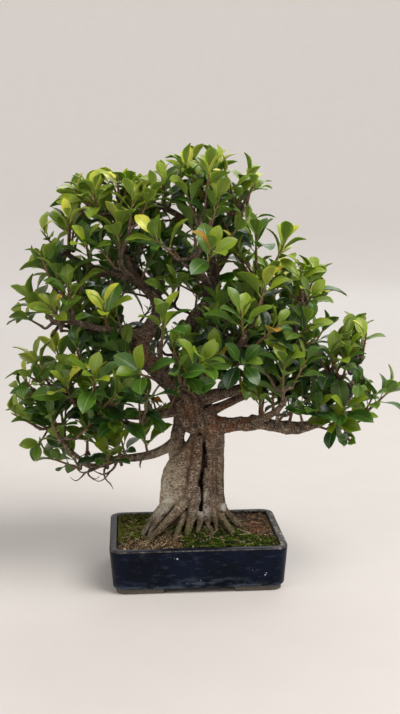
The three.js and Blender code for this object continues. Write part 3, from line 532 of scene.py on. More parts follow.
def rows_of(items: Any, name: str, width: int = 3, kind: type = np.float32) -> Array:
    """Gives a property of all points, edges or corners of a mesh, a row for each.

    Args:
        items: The points, edges or corners.
        name: Blender's name of the property.
        width: How many numbers each has.
        kind: Their type.

    Returns:
        The rows.
    """
    flat = np.zeros(len(items) * width, kind)
    items.foreach_get(name, flat)
    return flat.reshape(-1, width)


def set_tone(mesh: bpy.types.Mesh, tone: Array) -> None:
    """Writes the colour attribute of a mesh, which its material reads."""
    layer = mesh.color_attributes.get("tone") or mesh.color_attributes.new("tone", "FLOAT_COLOR", "POINT")
    layer.data.foreach_set("color", tone.astype(np.float32).ravel())


def put_in_scene(name: str, data: Any) -> Piece:
    """Makes an object from its data and links it to the scene."""
    item = bpy.data.objects.new(name, data)
    bpy.context.scene.collection.objects.link(item)
    return item


@dataclass
class Workshop:
    """Turns finished geometry into pieces of the object.

    Attributes:
        offset: Place of the pot's frame in the model's frame, in millimetres.
    """

    offset: Array

    def to_model(self, points: Array) -> Array:
        """Gives points of the pot's frame in metres in the model's frame."""
        return (points + self.offset) * MM

    def to_pot(self, points: Array) -> Array:
        """Gives points of the model's frame in millimetres in the pot's frame."""
        return points / MM - self.offset

    def mesh_of(self, node: Piece) -> Array:
        """Gives a node's points in the pot's frame."""
        return self.to_pot(rows_of(node.data.vertices, "co").astype(float))

    def place(self, x: float, y: float, z: float) -> Vector:
        """Gives a point of the pot's frame in the model's frame."""
        return Vector(self.to_model(np.array([x, y, z], float)))

    def hand_over(self, piece: Piece, slot: Slot, materials: Sequence[Material],
                  replaces: Sequence[str] = ()) -> Piece:
        """Dresses a piece and fixes it to the model.

        Args:
            piece: The finished piece, with its place in its mesh.
            slot: The record's slot; not used.
            materials: Its materials, in the order that its faces name them.
            replaces: CAD nodes that it stands for.

        Returns:
            The piece.
        """
        for material in materials:
            piece.data.materials.append(material)
        if replaces:
            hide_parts(*replaces)
        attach(piece, "root")
        LOG.info("%s: %d faces", piece.name, len(piece.data.polygons))
        return piece


class Heap:
    """Gathers closed shells into one mesh, with a colour attribute and a UV map."""

    def __init__(self) -> None:
        """Starts empty."""
        self.points: list[Array] = []
        self.faces: list[list[int]] = []
        self.finish: list[int] = []
        self.tones: list[Array] = []
        self.maps: list[Array] = []
        self.sharp: list[tuple[int, int]] = []
        self.count = 0

    def add(self, points: Array, faces: Sequence[Sequence[int]], tone: Array | Spot = (0, 0, 0, 1),
            maps: Array | tuple[float, float] = (0, 0), finish: int = 0,
            sharp: Iterable[tuple[int, int]] = ()) -> None:
        """Adds a shell.

        Args:
            points: Its points.
            faces: Its faces, by number of point.
            tone: Colour attribute of each point, red, green, blue and alpha.
            maps: UV place of each point.
            finish: Which of the piece's materials it wears.
            sharp: Edges that keep a hard line.
        """
        first = self.count
        self.points.append(points)
        self.faces.extend([first + i for i in face] for face in faces)
        self.finish.extend([finish] * len(faces))
        self.tones.append(np.broadcast_to(tone, (len(points), 4)))
        self.maps.append(np.broadcast_to(maps, (len(points), 2)))
        self.sharp.extend((first + a, first + b) for a, b in sharp)
        self.count += len(points)

    def build(self, name: str, shop: Workshop, smooth: bool = True) -> Piece:
        """Makes the piece.

        Args:
            name: Its name.
            shop: Where it is placed.
            smooth: Whether it is shaded smooth.

        Returns:
            The piece, at the origin with its place in its mesh.
        """
        mesh = bpy.data.meshes.new(name)
        mesh.from_pydata(shop.to_model(np.concatenate(self.points)).tolist(), [], self.faces)
        mesh.polygons.foreach_set("material_index", self.finish)
        mesh.polygons.foreach_set("use_smooth", [smooth] * len(self.faces))
        corners = rows_of(mesh.loops, "vertex_index", 1, np.int32)[:, 0]
        layer = mesh.uv_layers.new(name="UVMap")
        layer.data.foreach_set("uv", np.concatenate(self.maps)[corners].astype(np.float32).ravel())
        set_tone(mesh, np.concatenate(self.tones))
        if self.sharp:
            ends = (rows_of(mesh.edges, "vertices", 2, np.int32), np.array(self.sharp))
            ends = (np.sort(pair, axis=1).astype(np.int64) @ [self.count, 1] for pair in ends)
            hard = np.isin(*ends)
            mesh.attributes.new("sharp_edge", "BOOLEAN", "EDGE").data.foreach_set("value", hard)
        mesh.update()
        return put_in_scene(name, mesh)


def start_fresh() -> None:
    """Leaves edit mode and deselects everything."""
    if bpy.context.object and bpy.context.object.mode != "OBJECT":
        ops.object.mode_set(mode="OBJECT")
    ops.object.select_all(action="DESELECT")


def pick(piece: Piece) -> None:
    """Makes a piece the only selected one and the active one."""
    start_fresh()
    piece.select_set(True)
    bpy.context.view_layer.objects.active = piece


def primitive(kind: str, **settings: Any) -> Piece:
    """Adds one of Blender's primitives with its place kept in its mesh."""
    start_fresh()
    getattr(ops.mesh, f"primitive_{kind}_add")(**settings)
    ops.object.transform_apply(location=True)
    return bpy.context.object


def open_mesh(action: str = "SELECT") -> None:
    """Enters edit mode with all of the active mesh selected, or none of it."""
    ops.object.mode_set(mode="EDIT")
    ops.mesh.select_all(action=action)


def close_mesh(inwards: bool | None = None) -> None:
    """Leaves edit mode, first turning all faces inwards or outwards where that is asked for."""
    if inwards is not None:
        ops.mesh.select_all(action="SELECT")
        ops.mesh.normals_make_consistent(inside=inwards)
    ops.object.mode_set(mode="OBJECT")


def lift(height: float) -> dict[str, Spot]:
    """Gives the setting that makes an extrusion go straight up by a height in metres."""
    return {"value": (0, 0, height)}


def apply_modifier(piece: Piece, kind: str, **settings: Any) -> None:
    """Adds a modifier with its settings and applies it.

    Args:
        piece: The piece.
        kind: Blender's name of the modifier's type.
        settings: Its settings by name.
    """
    pick(piece)
    modifier = piece.modifiers.new(kind.title(), kind)
    for key, value in settings.items():
        setattr(modifier, key, value)
    ops.object.modifier_apply(modifier=modifier.name)


def taken_apart(piece: Piece) -> tuple[Array, list[list[int]]]:
    """Gives the points and faces of a modelled master and removes it."""
    points = np.array([v.co[:] for v in piece.data.vertices])
    faces = [list(p.vertices) for p in piece.data.polygons]
    bpy.data.objects.remove(piece)
    return points, faces


@dataclass
class TubeMaster:
    """A round rod modelled once and copied onto every limb, root, twig and stalk.

    Attributes:
        sides: Faces round it.
        steps: Faces along it.
    """

    sides: int
    steps: int
    unit_points: Array = field(init=False)
    faces: list[list[int]] = field(init=False)

    def __post_init__(self) -> None:
        """Models the rod: a cylinder with closed ends, cut into rings along its length."""
        rod = primitive("cylinder", vertices=self.sides, radius=1, depth=1, location=(0, 0, 0.5),
                        end_fill_type="TRIFAN")
        if self.steps > 1:
            mesh = rod.data
            rise = rows_of(mesh.vertices, "co")[:, 2][rows_of(mesh.edges, "vertices", 2, np.int32)]
            for items in (mesh.vertices, mesh.polygons):
                items.foreach_set("select", [False] * len(items))
            mesh.edges.foreach_set("select", np.abs(rise[:, 0] - rise[:, 1]) > 0.5)
            ops.object.mode_set(mode="EDIT")
            ops.mesh.select_mode(type="EDGE")
            ops.mesh.subdivide(number_cuts=self.steps - 1)
            close_mesh()
        self.unit_points, self.faces = taken_apart(rod)

    def along(self, course: Course, radius: Callable[[Array, Array], Array] | None = None,
              spacing: float = 1.0) -> tuple[Array, Array]:
        """Lays a copy of the rod along a curve.

        Args:
            course: The curve.
            radius: Gives the radius from the share of the way and the angle round, or None for the
                curve's own.
            spacing: Power of the share of the way, over 1 for shorter steps at the start.

        Returns:
            The points, and for each its distance round and along the rod in millimetres.
        """
        x, y, z = self.unit_points.T
        t = np.clip(z, 0, 1) ** spacing
        middle, tangent = course.at(t), course.tangent(t)
        side, across = course.sides(tangent)
        angle = np.arctan2(y, x)
        size = course.radius(t) if radius is None else radius(t, angle)
        out = np.hypot(x, y)
        points = middle + side * (np.cos(angle) * out * size)[:, None]
        points = points + across * (-np.sin(angle) * out * size)[:, None]
        return points, np.stack([angle * course.radius(t), t * course.length()], 1)


class LeafMaster:
    """One leaf modelled once: a folded blade with a drawn-out tip, and its stalk.

    Its own place is kept as a share out from the midrib, a share along, and its layer.
    """

    STATIONS = np.array([0.15, 0.25, 0.38, 0.53, 0.68, 0.82, 0.93, 1.0])
    WIDTHS = np.array([0.05, 0.36, 0.70, 0.93, 1.0, 0.85, 0.46, 0.0])
    ACROSS = 4

    def __init__(self, stalk: TubeMaster) -> None:
        """Models the blade from a grid and keeps its faces.

        Args:
            stalk: Rod that the stalks are copied from.
        """
        along = len(self.STATIONS) - 1
        blade = primitive("grid", x_subdivisions=self.ACROSS, y_subdivisions=along, size=1)
        open_mesh()
        ops.mesh.duplicate()
        ops.mesh.flip_normals()
        ops.transform.translate(value=(0, 0, -1))
        close_mesh()
        for vertex in blade.data.vertices:
            out = round((vertex.co.x + 0.5) * self.ACROSS) * 2 / self.ACROSS - 1
            step = round((vertex.co.y + 0.5) * along)
            under = vertex.co.z < -0.5 and abs(out) < 0.99 and step < along
            vertex.co = (0 if step == along else out, self.STATIONS[step], -1 if under else 0)
        open_mesh()
        ops.mesh.remove_doubles(threshold=1e-4)
        close_mesh()
        self.places, self.faces = taken_apart(blade)
        out, step = np.abs(self.places[:, 0]), self.places[:, 1]
        self.rim = set(np.flatnonzero((out > 0.99) | (step > 0.999)).tolist())
        uses: dict[tuple[int, int], int] = {}
        for face in self.faces:
            under = any(self.places[i, 2] < -0.5 for i in face)
            for a, b in zip(face, face[1:] + face[:1]):
                key = (min(a, b), max(a, b))
                uses[key] = uses.get(key, 0) | (2 if under else 1)
        self.edges = [key for key, kinds in uses.items() if kinds == 3 and set(key) <= self.rim]
        self.stalk = stalk

    def copy(self, leaf: Leaf, heap: Heap, thick: float, droop: float) -> None:
        """Adds a copy of the leaf at its place.

        Args:
            leaf: The leaf's place.
            heap: The mesh it goes to.
            thick: Thickness of the blade in millimetres.
            droop: How far the tip hangs, as a share of the length.
        """
        draws = [chance(*leaf.key, 40, channel) for channel in range(6)]
        out, along, layer = self.places.T
        half = 0.235 * leaf.length * (0.88 + 0.26 * draws[0])
        width = np.interp(along, self.STATIONS, self.WIDTHS) * half
        bow = (0.035 + 0.05 * draws[1]) * leaf.length
        wave = np.sin(along * (9 + 5 * draws[2]) + 6 * draws[3]) * np.abs(out) * 0.016 * leaf.length
        rise = np.abs(out) * width * (0.16 + 0.16 * draws[4]) + bow * 4 * along * (1 - along) + wave
        rise = rise - droop * leaf.length * np.maximum(0, along - 0.5) ** 2 * 4
        rib = (np.abs(out) < 0.01) * np.where(layer < 0, 0.25, 0.12) * (along < 0.95)
        rise = rise + layer * thick - rib
        sway = (draws[5] - 0.5) * 0.1 * leaf.length * (along - 0.15) * (1 - along) * 4
        points = (leaf.root + leaf.direction * (along * leaf.length)[:, None]
                  + leaf.sideways * (out * width + sway)[:, None] + leaf.face * rise[:, None])
        tone = np.stack([np.full_like(out, chance(*leaf.key, 41, 0)), np.full_like(out, leaf.youth_and_light),
                         (layer < -0.5).astype(float), np.ones_like(out)], 1)
        heap.add(points, self.faces, tone, np.stack([0.5 + 0.5 * out, along], 1), 0, self.edges)
        foot = bow * 4 * 0.17 * 0.83
        ends = ((*leaf.root, 0.75),
                (*(leaf.root + leaf.direction * 0.09 * leaf.length + leaf.face * foot * 0.45), 0.6),
                (*(leaf.root + leaf.direction * 0.2 * leaf.length + leaf.face * (foot - 0.25)), 0.45))
        points, _ = self.stalk.along(Course(ends))
        pale = np.array([tone[0, 0], leaf.youth_and_light, 0.5, 1.0])
        heap.add(points, self.stalk.faces, pale, np.array([0.5, 0.1]), 0)


# The wood

@dataclass
class Wood:
    """The tree's trunk, limbs, branchlets and roots.

    Attributes:
        shop: Where the pieces are handed over.
        grain: Size of the remeshed trunk's faces in millimetres.
        knobs: Height of the bark's swellings in millimetres.
    """

    shop: Workshop
    grain: float = 1.15
    knobs: float = 0.85

    THICK = ("left_leader", "right_leader", "heavy_right_branch")
    SINEWS: tuple[Route, ...] = (
        ((5, 2, 164, 5), (3, -4, 146, 5.6), (0, -8, 126, 6), (-3, -11, 108, 6), (-9, -14, 92, 5)),
        ((28, -1, 76, 4), (29, 1, 96, 3.6), (28, 1, 124, 3.4), (27, 2, 156, 3)),
        ((17, 0, 90, 3.6), (17, 1, 112, 3.4), (17, 1, 140, 3.2), (14, 0, 166, 3)),
        ((33, 8, 74, 4), (32, 9, 100, 3.2), (31, 10, 140, 3)),
        ((-27, 7, 130, 2.6), (-27, 8, 150, 2.4), (-22, 6, 172, 3), (-14, -2, 190, 3.4)),
        ((-8, -6, 176, 4), (-14, -9, 190, 5), (-20, -6, 206, 4)),
        ((8, -4, 170, 4), (6, -8, 184, 5), (2, -6, 200, 4.4), (-2, 0, 218, 3.4)),
        ((-30, 6, 64, 4), (-40, 0, 54, 3.2), (-50, -4, 44, 2.6)),
        ((-12, -12, 76, 4.6), (-20, -24, 62, 3.4), (-26, -33, 50, 2.6), (-29, -37, 42, 2.2)),
        ((4, -12, 76, 4.2), (3, -20, 64, 3.4), (1, -28, 52, 2.6), (0, -33, 42, 2.2)),
        ((30, 38, 66, 5), (20, 36, 84, 5), (12, 36, 108, 4.4), (6, 33, 140, 3.6)),
        ((-38, 28, 67, 5), (-30, 24, 84, 5), (-26, 22, 104, 4.4), (-18, 20, 128, 3.4)),
    )
    LIMES: tuple[tuple[float, ...], ...] = (
        (8, -13, 78, 9, 0.9), (9, -13, 94, 6, 0.75), (9, -14, 62, 7, 0.6), (33, -17, 80, 7, 1.0),
        (-30, -8, 88, 9, 0.7),
        (-40, -14, 76, 9, 0.75), (-56, -20, 58, 9, 0.7), (-2, -16, 78, 6, 0.6), (-38, -4, 105, 12, 0.35),
        (-70, -22, 48, 9, 0.5), (24, 0, 90, 9, 0.3), (-26, -14, 74, 7, 0.5),
    )
    # Reddish scars as (x, y, z, radius, strength); those round the foot of the heavy right branch are
    # painted sunlight
    RUST_AND_SUNLIT_SPOTS: tuple[tuple[float, ...], ...] = (
        (44, 4, 180, 18, 0.95), (24, 8, 184, 14, 0.5), (-9, -8, 196, 14, 0.55), (-8, -6, 112, 12, 0.4),
        (-4, -4, 150, 12, 0.45), (-60, -10, 268, 14, 0.6), (-56, -10, 250, 12, 0.5), (18, 2, 168, 10, 0.4),
        (-80, 0, 186, 14, 0.4),
    )

    def _limb_tubes(self) -> list[Course]:
        """Gives the curves of the thick wood, which grows together into one mesh."""
        thick = [BRANCHES[name] for name in self.THICK]
        return [Course(r) for r in (*TRUNK_LIMBS.values(), *ROOTS.values(), CUT_STUB, *thick, *self.SINEWS)]

    @staticmethod
    def _fluted(course: Course, depth: float, phase: float) -> Callable[[Array, Array], Array]:
        """Gives a radius that swells and sinks round a limb and along it."""
        def radius(t: Array, angle: Array) -> Array:
            """Gives the radius at a share of the way and an angle."""
            swell = np.sin(3 * angle + 5 * t + phase) + 0.8 * np.sin(5 * angle - 3 * t)
            swell = swell + 0.5 * np.sin(8 * angle + 9 * t + phase)
            return course.radius(t) * (1 + depth * swell)
        return radius

    @staticmethod
    def _crook(points: Array) -> Array:
        """Gives the small bends and swellings that make grown wood uneven."""
        wide = [noise.noise_vector(Vector(p / 17)) for p in points]
        tight = [noise.noise_vector(Vector(p / 6.5 + 30)) for p in points]
        return 1.5 * np.array(wide) + 0.75 * np.array(tight)

    def build_trunk(self, bark: Material) -> Piece:
        """Models the trunk with its roots and leaders as one grown body.

        Args:
            bark: Its material.

        Returns:
            The piece.
        """
        rod = TubeMaster(24, 40)
        heap = Heap()
        courses = self._limb_tubes()
        for number, course in enumerate(courses):
            depth = 0.045 if course.radii.max() > 10 else 0.06
            points, _ = rod.along(course, self._fluted(course, depth, float(number)))
            heap.add(points + self._crook(points), rod.faces)
        trunk = heap.build("trunk_wood", self.shop)
        pick(trunk)
        open_mesh()
        close_mesh(inwards=False)
        apply_modifier(trunk, "REMESH", mode="VOXEL", voxel_size=self.grain * MM, adaptivity=0)
        apply_modifier(trunk, "SMOOTH", factor=0.5, iterations=3)
        self._bark(trunk, courses)
        return self.shop.hand_over(trunk, Slot.BARK, [bark], ["trunk"])

    def _bark(self, piece: Piece, courses: list[Course]) -> None:
        """Raises the bark of a remeshed piece and marks lime, rusted and sunlit spots, and its low parts for
        painted shade.
        """
        mesh = piece.data
        points, normals = self.shop.mesh_of(piece), rows_of(mesh.vertices, "normal").astype(float)
        place = self._limb_place(points, courses)
        ring = place[:, 2] * bumps(place * (1, 1, 0), (7, 2.4, 1), (0, 0, 4))
        knobs = bumps(points, (3.6, 3.6, 4.2), (9, 0, 0))
        raised = 0.9 * bumps(points, (11, 11, 15)) + 0.55 * knobs + 0.45 * ring
        moved = points + normals * (self.knobs * raised)[:, None]
        mesh.vertices.foreach_set("co", self.shop.to_model(moved).astype(np.float32).ravel())
        # The low parts of the raised bark are kept for painted shade in the hollows
        self.paint(mesh, moved, place, np.clip(0.5 - 0.5 * raised, 0, 1))

    def paint(self, mesh: bpy.types.Mesh, points: Array, place: Array, low: Array) -> None:
        """Keeps lime, rusted and sunlit spots, hollows for painted shade and the pale, partly lit lobe as a
        colour attribute, and the place on the limb as a map.
        """
        lime, rust_and_sunlight = (sum(spot[4] * np.exp(-((points - spot[:3]) ** 2).sum(1) / spot[3] ** 2)
                          for spot in map(np.asarray, spots)) for spots in (self.LIMES, self.RUST_AND_SUNLIT_SPOTS))
        # The pale lobe of the trunk: its own pale bark, lightened further as painted light
        pale = np.exp(-(((points - [-36, -2, 104]) / [22, 30, 42]) ** 2).sum(1))
        tone = np.stack([np.clip(lime, 0, 1), np.clip(rust_and_sunlight, 0, 1), low, pale], 1)
        set_tone(mesh, tone)
        limb = mesh.attributes.new("limb", "FLOAT_VECTOR", "POINT")
        limb.data.foreach_set("vector", place.astype(np.float32).ravel())
        mesh.update()

    @staticmethod
    def _limb_place(points: Array, courses: list[Course]) -> Array:
        """Finds where on its limb each point lies.

        Args:
            points: Points of the grown body.
            courses: The limbs' curves.

        Returns:
            For each point its distance round and along its limb in millimetres, and how far it lies
            from the seam with the next limb, from 0 to 1.
        """
        best, second = np.full(len(points), 1e6), np.full(len(points), 1e6)
        place = np.zeros((len(points), 3))
        t = np.linspace(0, 1, 48)
        for number, course in enumerate(courses):
            middle, radius, tangent = course.at(t), course.radius(t), course.tangent(t)
            side, across = course.sides(tangent)
            near = np.flatnonzero(((points > middle.min(0) - 30) & (points < middle.max(0) + 30)).all(1))
            away = points[near, None] - middle[None]
            gap = np.linalg.norm(away, axis=2) - radius
            pick_one = gap.argmin(1)
            rows = np.arange(len(near))
            gap, away = gap[rows, pick_one], away[rows, pick_one]
            angle = np.arctan2((away * across[pick_one]).sum(1), (away * side[pick_one]).sum(1))
            along = t[pick_one] * course.length() + (away * tangent[pick_one]).sum(1) + 37 * number
            closer = gap < best[near]
            second[near] = np.where(closer, best[near], np.minimum(second[near], gap))
            best[near] = np.where(closer, gap, best[near])
            found = np.stack([angle * radius[pick_one], along], 1)
            place[near[closer], :2] = found[closer]
        place[:, 2] = np.clip((second - best) / 2.2, 0, 1)
        return place

    def build_branches(self, shoots: Sequence[Shoot], twiglets: Sequence[Route],
                       bark: Material) -> Piece:
        """Models the thinner limbs and the branchlets, each swelling where it leaves its parent.

        Args:
            shoots: Shoots whose branchlets are modelled.
            twiglets: Routes of bare twigs and stubs.
            bark: Their material.

        Returns:
            The piece.
        """
        limb_rod, shoot_rod = TubeMaster(10, 28), TubeMaster(7, 9)
        heap, places = Heap(), []
        jobs = [(limb_rod, route) for name, route in BRANCHES.items() if name not in self.THICK]
        jobs += [(shoot_rod, shoot.route) for shoot in shoots] + [(shoot_rod, route) for route in twiglets]
        for number, (rod, route) in enumerate(jobs):
            course = Course(route)
            radius = self.collared(course, float(number))
            points, place = rod.along(course, radius, 1.25)
            heap.add(points, rod.faces)
            places.append(np.column_stack([place + [0, 37 * number], np.ones(len(place))]))
        branches = heap.build("branch_wood", self.shop)
        points = np.concatenate(heap.points)
        # The noise stands for hollows, which the bark darkens as painted shade
        self.paint(branches.data, points, np.concatenate(places), 0.5 - 0.5 * bumps(points, 5))
        return self.shop.hand_over(branches, Slot.BARK, [bark])

    @staticmethod
    def collared(course: Course, phase: float) -> Callable[[Array, Array], Array]:
        """Gives a limb's radius with a collar at its root, knots along it and an uneven round."""
        length = course.length()

        def radius(t: Array, angle: Array) -> Array:
            """Gives the radius at a share of the way and an angle."""
            collar = 0.45 * np.exp(-t * length / 5)
            knots = 0.06 * np.sin(t * length / 4.2 + phase) * np.sin(t * length / 11 + 2 * phase)
            uneven = 0.05 * np.sin(2 * angle + t * length / 9) + 0.04 * np.sin(3 * angle + phase)
            return course.radius(t) * (1 + collar + knots + uneven)
        return radius


# The crown

@dataclass(frozen=True)
class Pad:
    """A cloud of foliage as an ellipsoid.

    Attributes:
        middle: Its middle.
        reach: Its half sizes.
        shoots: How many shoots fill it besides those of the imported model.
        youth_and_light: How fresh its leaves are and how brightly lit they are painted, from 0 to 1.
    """

    middle: Spot
    reach: Spot
    shoots: int
    youth_and_light: float

    def away(self, spot: Array) -> Array:
        """Gives how far a point lies from the middle, by shares of the half sizes."""
        return (spot - np.asarray(self.middle)) / np.asarray(self.reach)


@dataclass
class Crown:
    """The leafy shoots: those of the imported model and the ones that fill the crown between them.

    Attributes:
        shop: Where the pieces are handed over.
        nodes: CAD nodes by name.
        spacing: Least distance between the middles of two shoots in millimetres.
        clearance: Least distance between the blades of two shoots in millimetres.
        wood_room: Least distance from a shoot's middle to the limbs in millimetres.
        edge_room: Least distance from a shoot's middle to the model's box in millimetres.
        surplus: Shoots that are tried for each one that a pad asks for.
        tries: Places that are tried for each shoot.
        camera: Where the photograph was taken from.
    """

    shop: Workshop
    nodes: dict[str, Piece]
    spacing: float = 16.5
    clearance: float = 2.9
    wood_room: float = 13.0
    edge_room: float = 16.0
    surplus: float = 1.35
    tries: int = 60
    camera: Spot = (-76, -1248, 440)
    shoots: list[Shoot] = field(default_factory=list)
    extra: list[tuple[Shoot, Pad]] = field(default_factory=list)

    # The last number of each pad is how fresh and how brightly lit its leaves are painted, from 0 to 1
    PADS = (
        Pad((7, 2, 446), (50, 56, 42), 12, 0.85), Pad((-82, 0, 408), (78, 64, 44), 16, 0.82),
        Pad((50, 8, 420), (40, 60, 44), 9, 0.75), Pad((-148, 0, 372), (34, 50, 48), 7, 0.75),
        Pad((-24, 0, 372), (72, 74, 34), 12, 0.38), Pad((-163, 0, 296), (40, 48, 32), 6, 0.6),
        Pad((-112, 0, 280), (44, 70, 30), 8, 0.4), Pad((-152, -6, 222), (50, 60, 44), 11, 0.62),
        Pad((-86, -14, 212), (54, 76, 36), 11, 0.36), Pad((-34, -66, 240), (50, 44, 44), 8, 0.28),
        Pad((104, 0, 320), (50, 60, 44), 14, 0.7), Pad((58, -8, 284), (52, 84, 52), 13, 0.3),
        Pad((112, 0, 246), (62, 78, 46), 15, 0.36), Pad((180, -6, 252), (34, 50, 46), 10, 0.6),
        Pad((162, -16, 202), (56, 42, 20), 5, 0.3), Pad((-122, -4, 150), (42, 30, 24), 6, 0.42),
        Pad((20, -40, 270), (48, 54, 46), 9, 0.24), Pad((4, 92, 312), (104, 44, 84), 14, 0.4),
        Pad((-70, 76, 300), (60, 40, 60), 7, 0.4), Pad((90, 80, 280), (60, 44, 56), 8, 0.4),
        Pad((170, -16, 170), (16, 16, 18), 3, 0.4), Pad((-92, 0, 438), (54, 44, 24), 7, 0.85),
        Pad((-190, -6, 192), (20, 30, 12), 2, 0.5), Pad((-178, -4, 158), (24, 22, 10), 1, 0.45),
        Pad((-44, -22, 168), (20, 14, 14), 1, 0.35), Pad((54, 0, 372), (14, 22, 12), 2, 0.6),
        Pad((-18, -10, 326), (14, 20, 14), 2, 0.3), Pad((82, -20, 206), (16, 20, 14), 3, 0.3),
    )
    WINDOWS = (
        (48, 110, 466, 540, 400), (-80, 2, 296, 330, 400), (18, 72, 179, 204, 400), (-30, 42, 120, 212, 30),
        (-62, -28, 214, 296, 6), (42, 148, 60, 168, 400), (190, 240, 60, 168, 400), (148, 190, 60, 140, 400),
        (-250, -142, 262, 298, 400), (-250, -168, 334, 356, 400), (-250, -168, 384, 408, 400),
        (38, 54, 452, 490, 400), (64, 110, 418, 442, 400), (70, 96, 372, 414, 400),
        (200, 260, 225, 320, 400), (140, 161, 268, 296, 400), (140, 172, 284, 314, 400),
        (-250, -168, 166, 181, 400),
    )

    def from_front(self, points: Array) -> Array:
        """Gives where points stand on the tree's middle plane as seen by the camera."""
        camera = np.asarray(self.camera, float)
        away = points - camera
        return camera + away * ((0 - camera[1]) / away[:, 1])[:, None]

    def in_pads(self, points: Array, slack: float) -> Array:
        """Tells which points, seen from the front, lie within the outline of the foliage."""
        seen = self.from_front(points)
        within = np.zeros(len(points), bool)
        for pad in self.PADS:
            x = (seen[:, 0] - pad.middle[0]) / (pad.reach[0] + slack)
            z = (seen[:, 2] - pad.middle[2]) / (pad.reach[2] + slack)
            within |= x ** 2 + z ** 2 < 1
        return within

    def in_window(self, points: Array) -> bool:
        """Tells whether any point closes one of the crown's see-through gaps."""
        seen = self.from_front(points)
        return any(bool(((seen[:, 0] > left) & (seen[:, 0] < right) & (seen[:, 2] > low)
                         & (seen[:, 2] < high) & (points[:, 1] < behind)).any())
                   for left, right, low, high, behind in self.WINDOWS)

    def plan(self) -> None:
        """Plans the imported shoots, then fills every pad with more."""
        seats = Seats(BRANCHES.values())
        self.shoots = [seats.shoot(number, spot) for number, spot in enumerate(CLUSTERS)]
        for shoot in self.shoots:
            seats.add(shoot.route)
        low, high = self._box()
        places = [np.asarray(spot, float) for spot in CLUSTERS]
        wood = np.concatenate([Course(r).at(np.linspace(0, 1, 16)) for r in BRANCHES.values()])
        rng = np.random.default_rng(SEED)
        for pad in self.PADS:
            for _ in range(round(pad.shoots * self.surplus)):
                for _ in range(self.tries):
                    spot = np.asarray(pad.middle) + np.asarray(pad.reach) * self._in_ball(rng)
                    inside = bool((np.minimum(spot - low, high - spot) > self.edge_room).all())
                    apart = min(np.linalg.norm(spot - p) for p in places) > self.spacing
                    clear = np.linalg.norm(wood - spot, axis=1).min() > self.wood_room
                    if inside and apart and clear and not self.in_window(spot[None]):
                        places.append(spot)
                        shoot = seats.shoot(len(self.shoots) + len(self.extra), spot, 2.1)
                        self.extra.append((shoot, pad))
                        seats.add(shoot.route)
                        break
        LOG.info("%d packed shoots, %d more", len(self.shoots), len(self.extra))

    def _box(self) -> tuple[Array, ...]:
        """Gives the corners of all that stands so far, in the pot's frame."""
        return tuple(self.shop.to_pot(np.array(corner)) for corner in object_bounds())

    @staticmethod
    def _in_ball(rng: np.random.Generator) -> Array:
        """Draws a point in a ball of radius one, more often near its surface."""
        return unit(rng.normal(size=3)) * rng.random() ** 0.28

    @staticmethod
    def youth_and_light_of(leaf: Leaf, pad: Pad) -> float:
        """Gives how fresh a leaf looks, younger at the twig's end, with painted light on top and outside the
        pad and painted shade within it.
        """
        away = pad.away(leaf.tip)
        outside = min(float(np.linalg.norm(away)), 1.3) - 0.9
        rank = leaf.key[1] / LEAF_COUNT - 0.5
        draw = chance(*leaf.key, 42, 0) - 0.5
        # Painted light: brighter on top of the pad and on its outside, painted shade within it
        place = 0.2 * float(np.clip(away[2], -1, 1)) + 0.5 * outside
        return float(np.clip(0.7 * pad.youth_and_light + place + 0.2 * rank + 0.42 * draw, 0, 1))

    def _nearest_pad(self, spot: Array) -> Pad:
        """Gives the pad that a shoot belongs to."""
        return min(self.PADS, key=lambda pad: float((pad.away(spot) ** 2).sum()))

    def packed_leaves(self, shoot: Shoot) -> list[Leaf]:
        """Finds which of the rule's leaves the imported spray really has.

        Args:
            shoot: The shoot.

        Returns:
            Its leaves.
        """
        points = self.shop.mesh_of(self.nodes[f"spray_{shoot.number + 1:02d}"])
        rings = shoot.rings()
        found = []
        for number in range(LEAF_COUNT):
            tries = (plan_leaf(shoot, rings, number, attempt) for attempt in range(LEAF_TRIES))
            leaf = next((t for t in tries if np.linalg.norm(points - t.tip, axis=1).min() < 0.3), None)
            if leaf is not None:
                found.append(leaf)
        return found

    @staticmethod
    def samples(leaf: Leaf) -> Array:
        """Gives a few points of a leaf's blade, for keeping leaves apart."""
        along = np.array([0.35, 0.5, 0.65, 0.8, 0.95, 0.5, 0.5, 0.7, 0.7]) * leaf.length
        out = np.array([0, 0, 0, 0, 0, 0.17, -0.17, 0.15, -0.15]) * leaf.length
        return leaf.root + leaf.direction * along[:, None] + leaf.sideways * out[:, None]

    def extra_leaves(self, shoot: Shoot, taken: Array, bark: Array, rng: np.random.Generator,
                     scale: float) -> list[Leaf]:
        """Chooses the leaves of an added shoot, clear of the others and of the wood.

        Args:
            shoot: The shoot.
            taken: Points of the leaves so far.
            bark: Points and radii of the limbs.
            rng: Seeded draws.
            scale: Size of its leaves against the rule's.

        Returns:
            Its leaves.
        """
        rings = shoot.rings()
        chosen: list[Leaf] = []
        low, high = self._box()
        own = np.full((1, 3), 1e6)
        for number in reversed(range(LEAF_COUNT)):
            for attempt in range(8):
                leaf = plan_leaf(shoot, rings, number, attempt)
                leaf.length *= scale * (0.86 + 0.26 * rng.random())
                points = self.samples(leaf)
                gap, mine = distances(points, taken).min(), distances(points[3:], own).min()
                limb = (distances(points, bark[:, :3]) - bark[None, :, 3]).min()
                inside = bool((points > low - 3).all() and (points < high + 3).all())
                if (gap > self.clearance and mine > 2.4 and limb > 1.5 and inside
                        and not self.in_window(points) and self.in_pads(points[3:5], 10).all()):
                    chosen.append(leaf)
                    own = np.vstack([own, points])
                    break
        return chosen

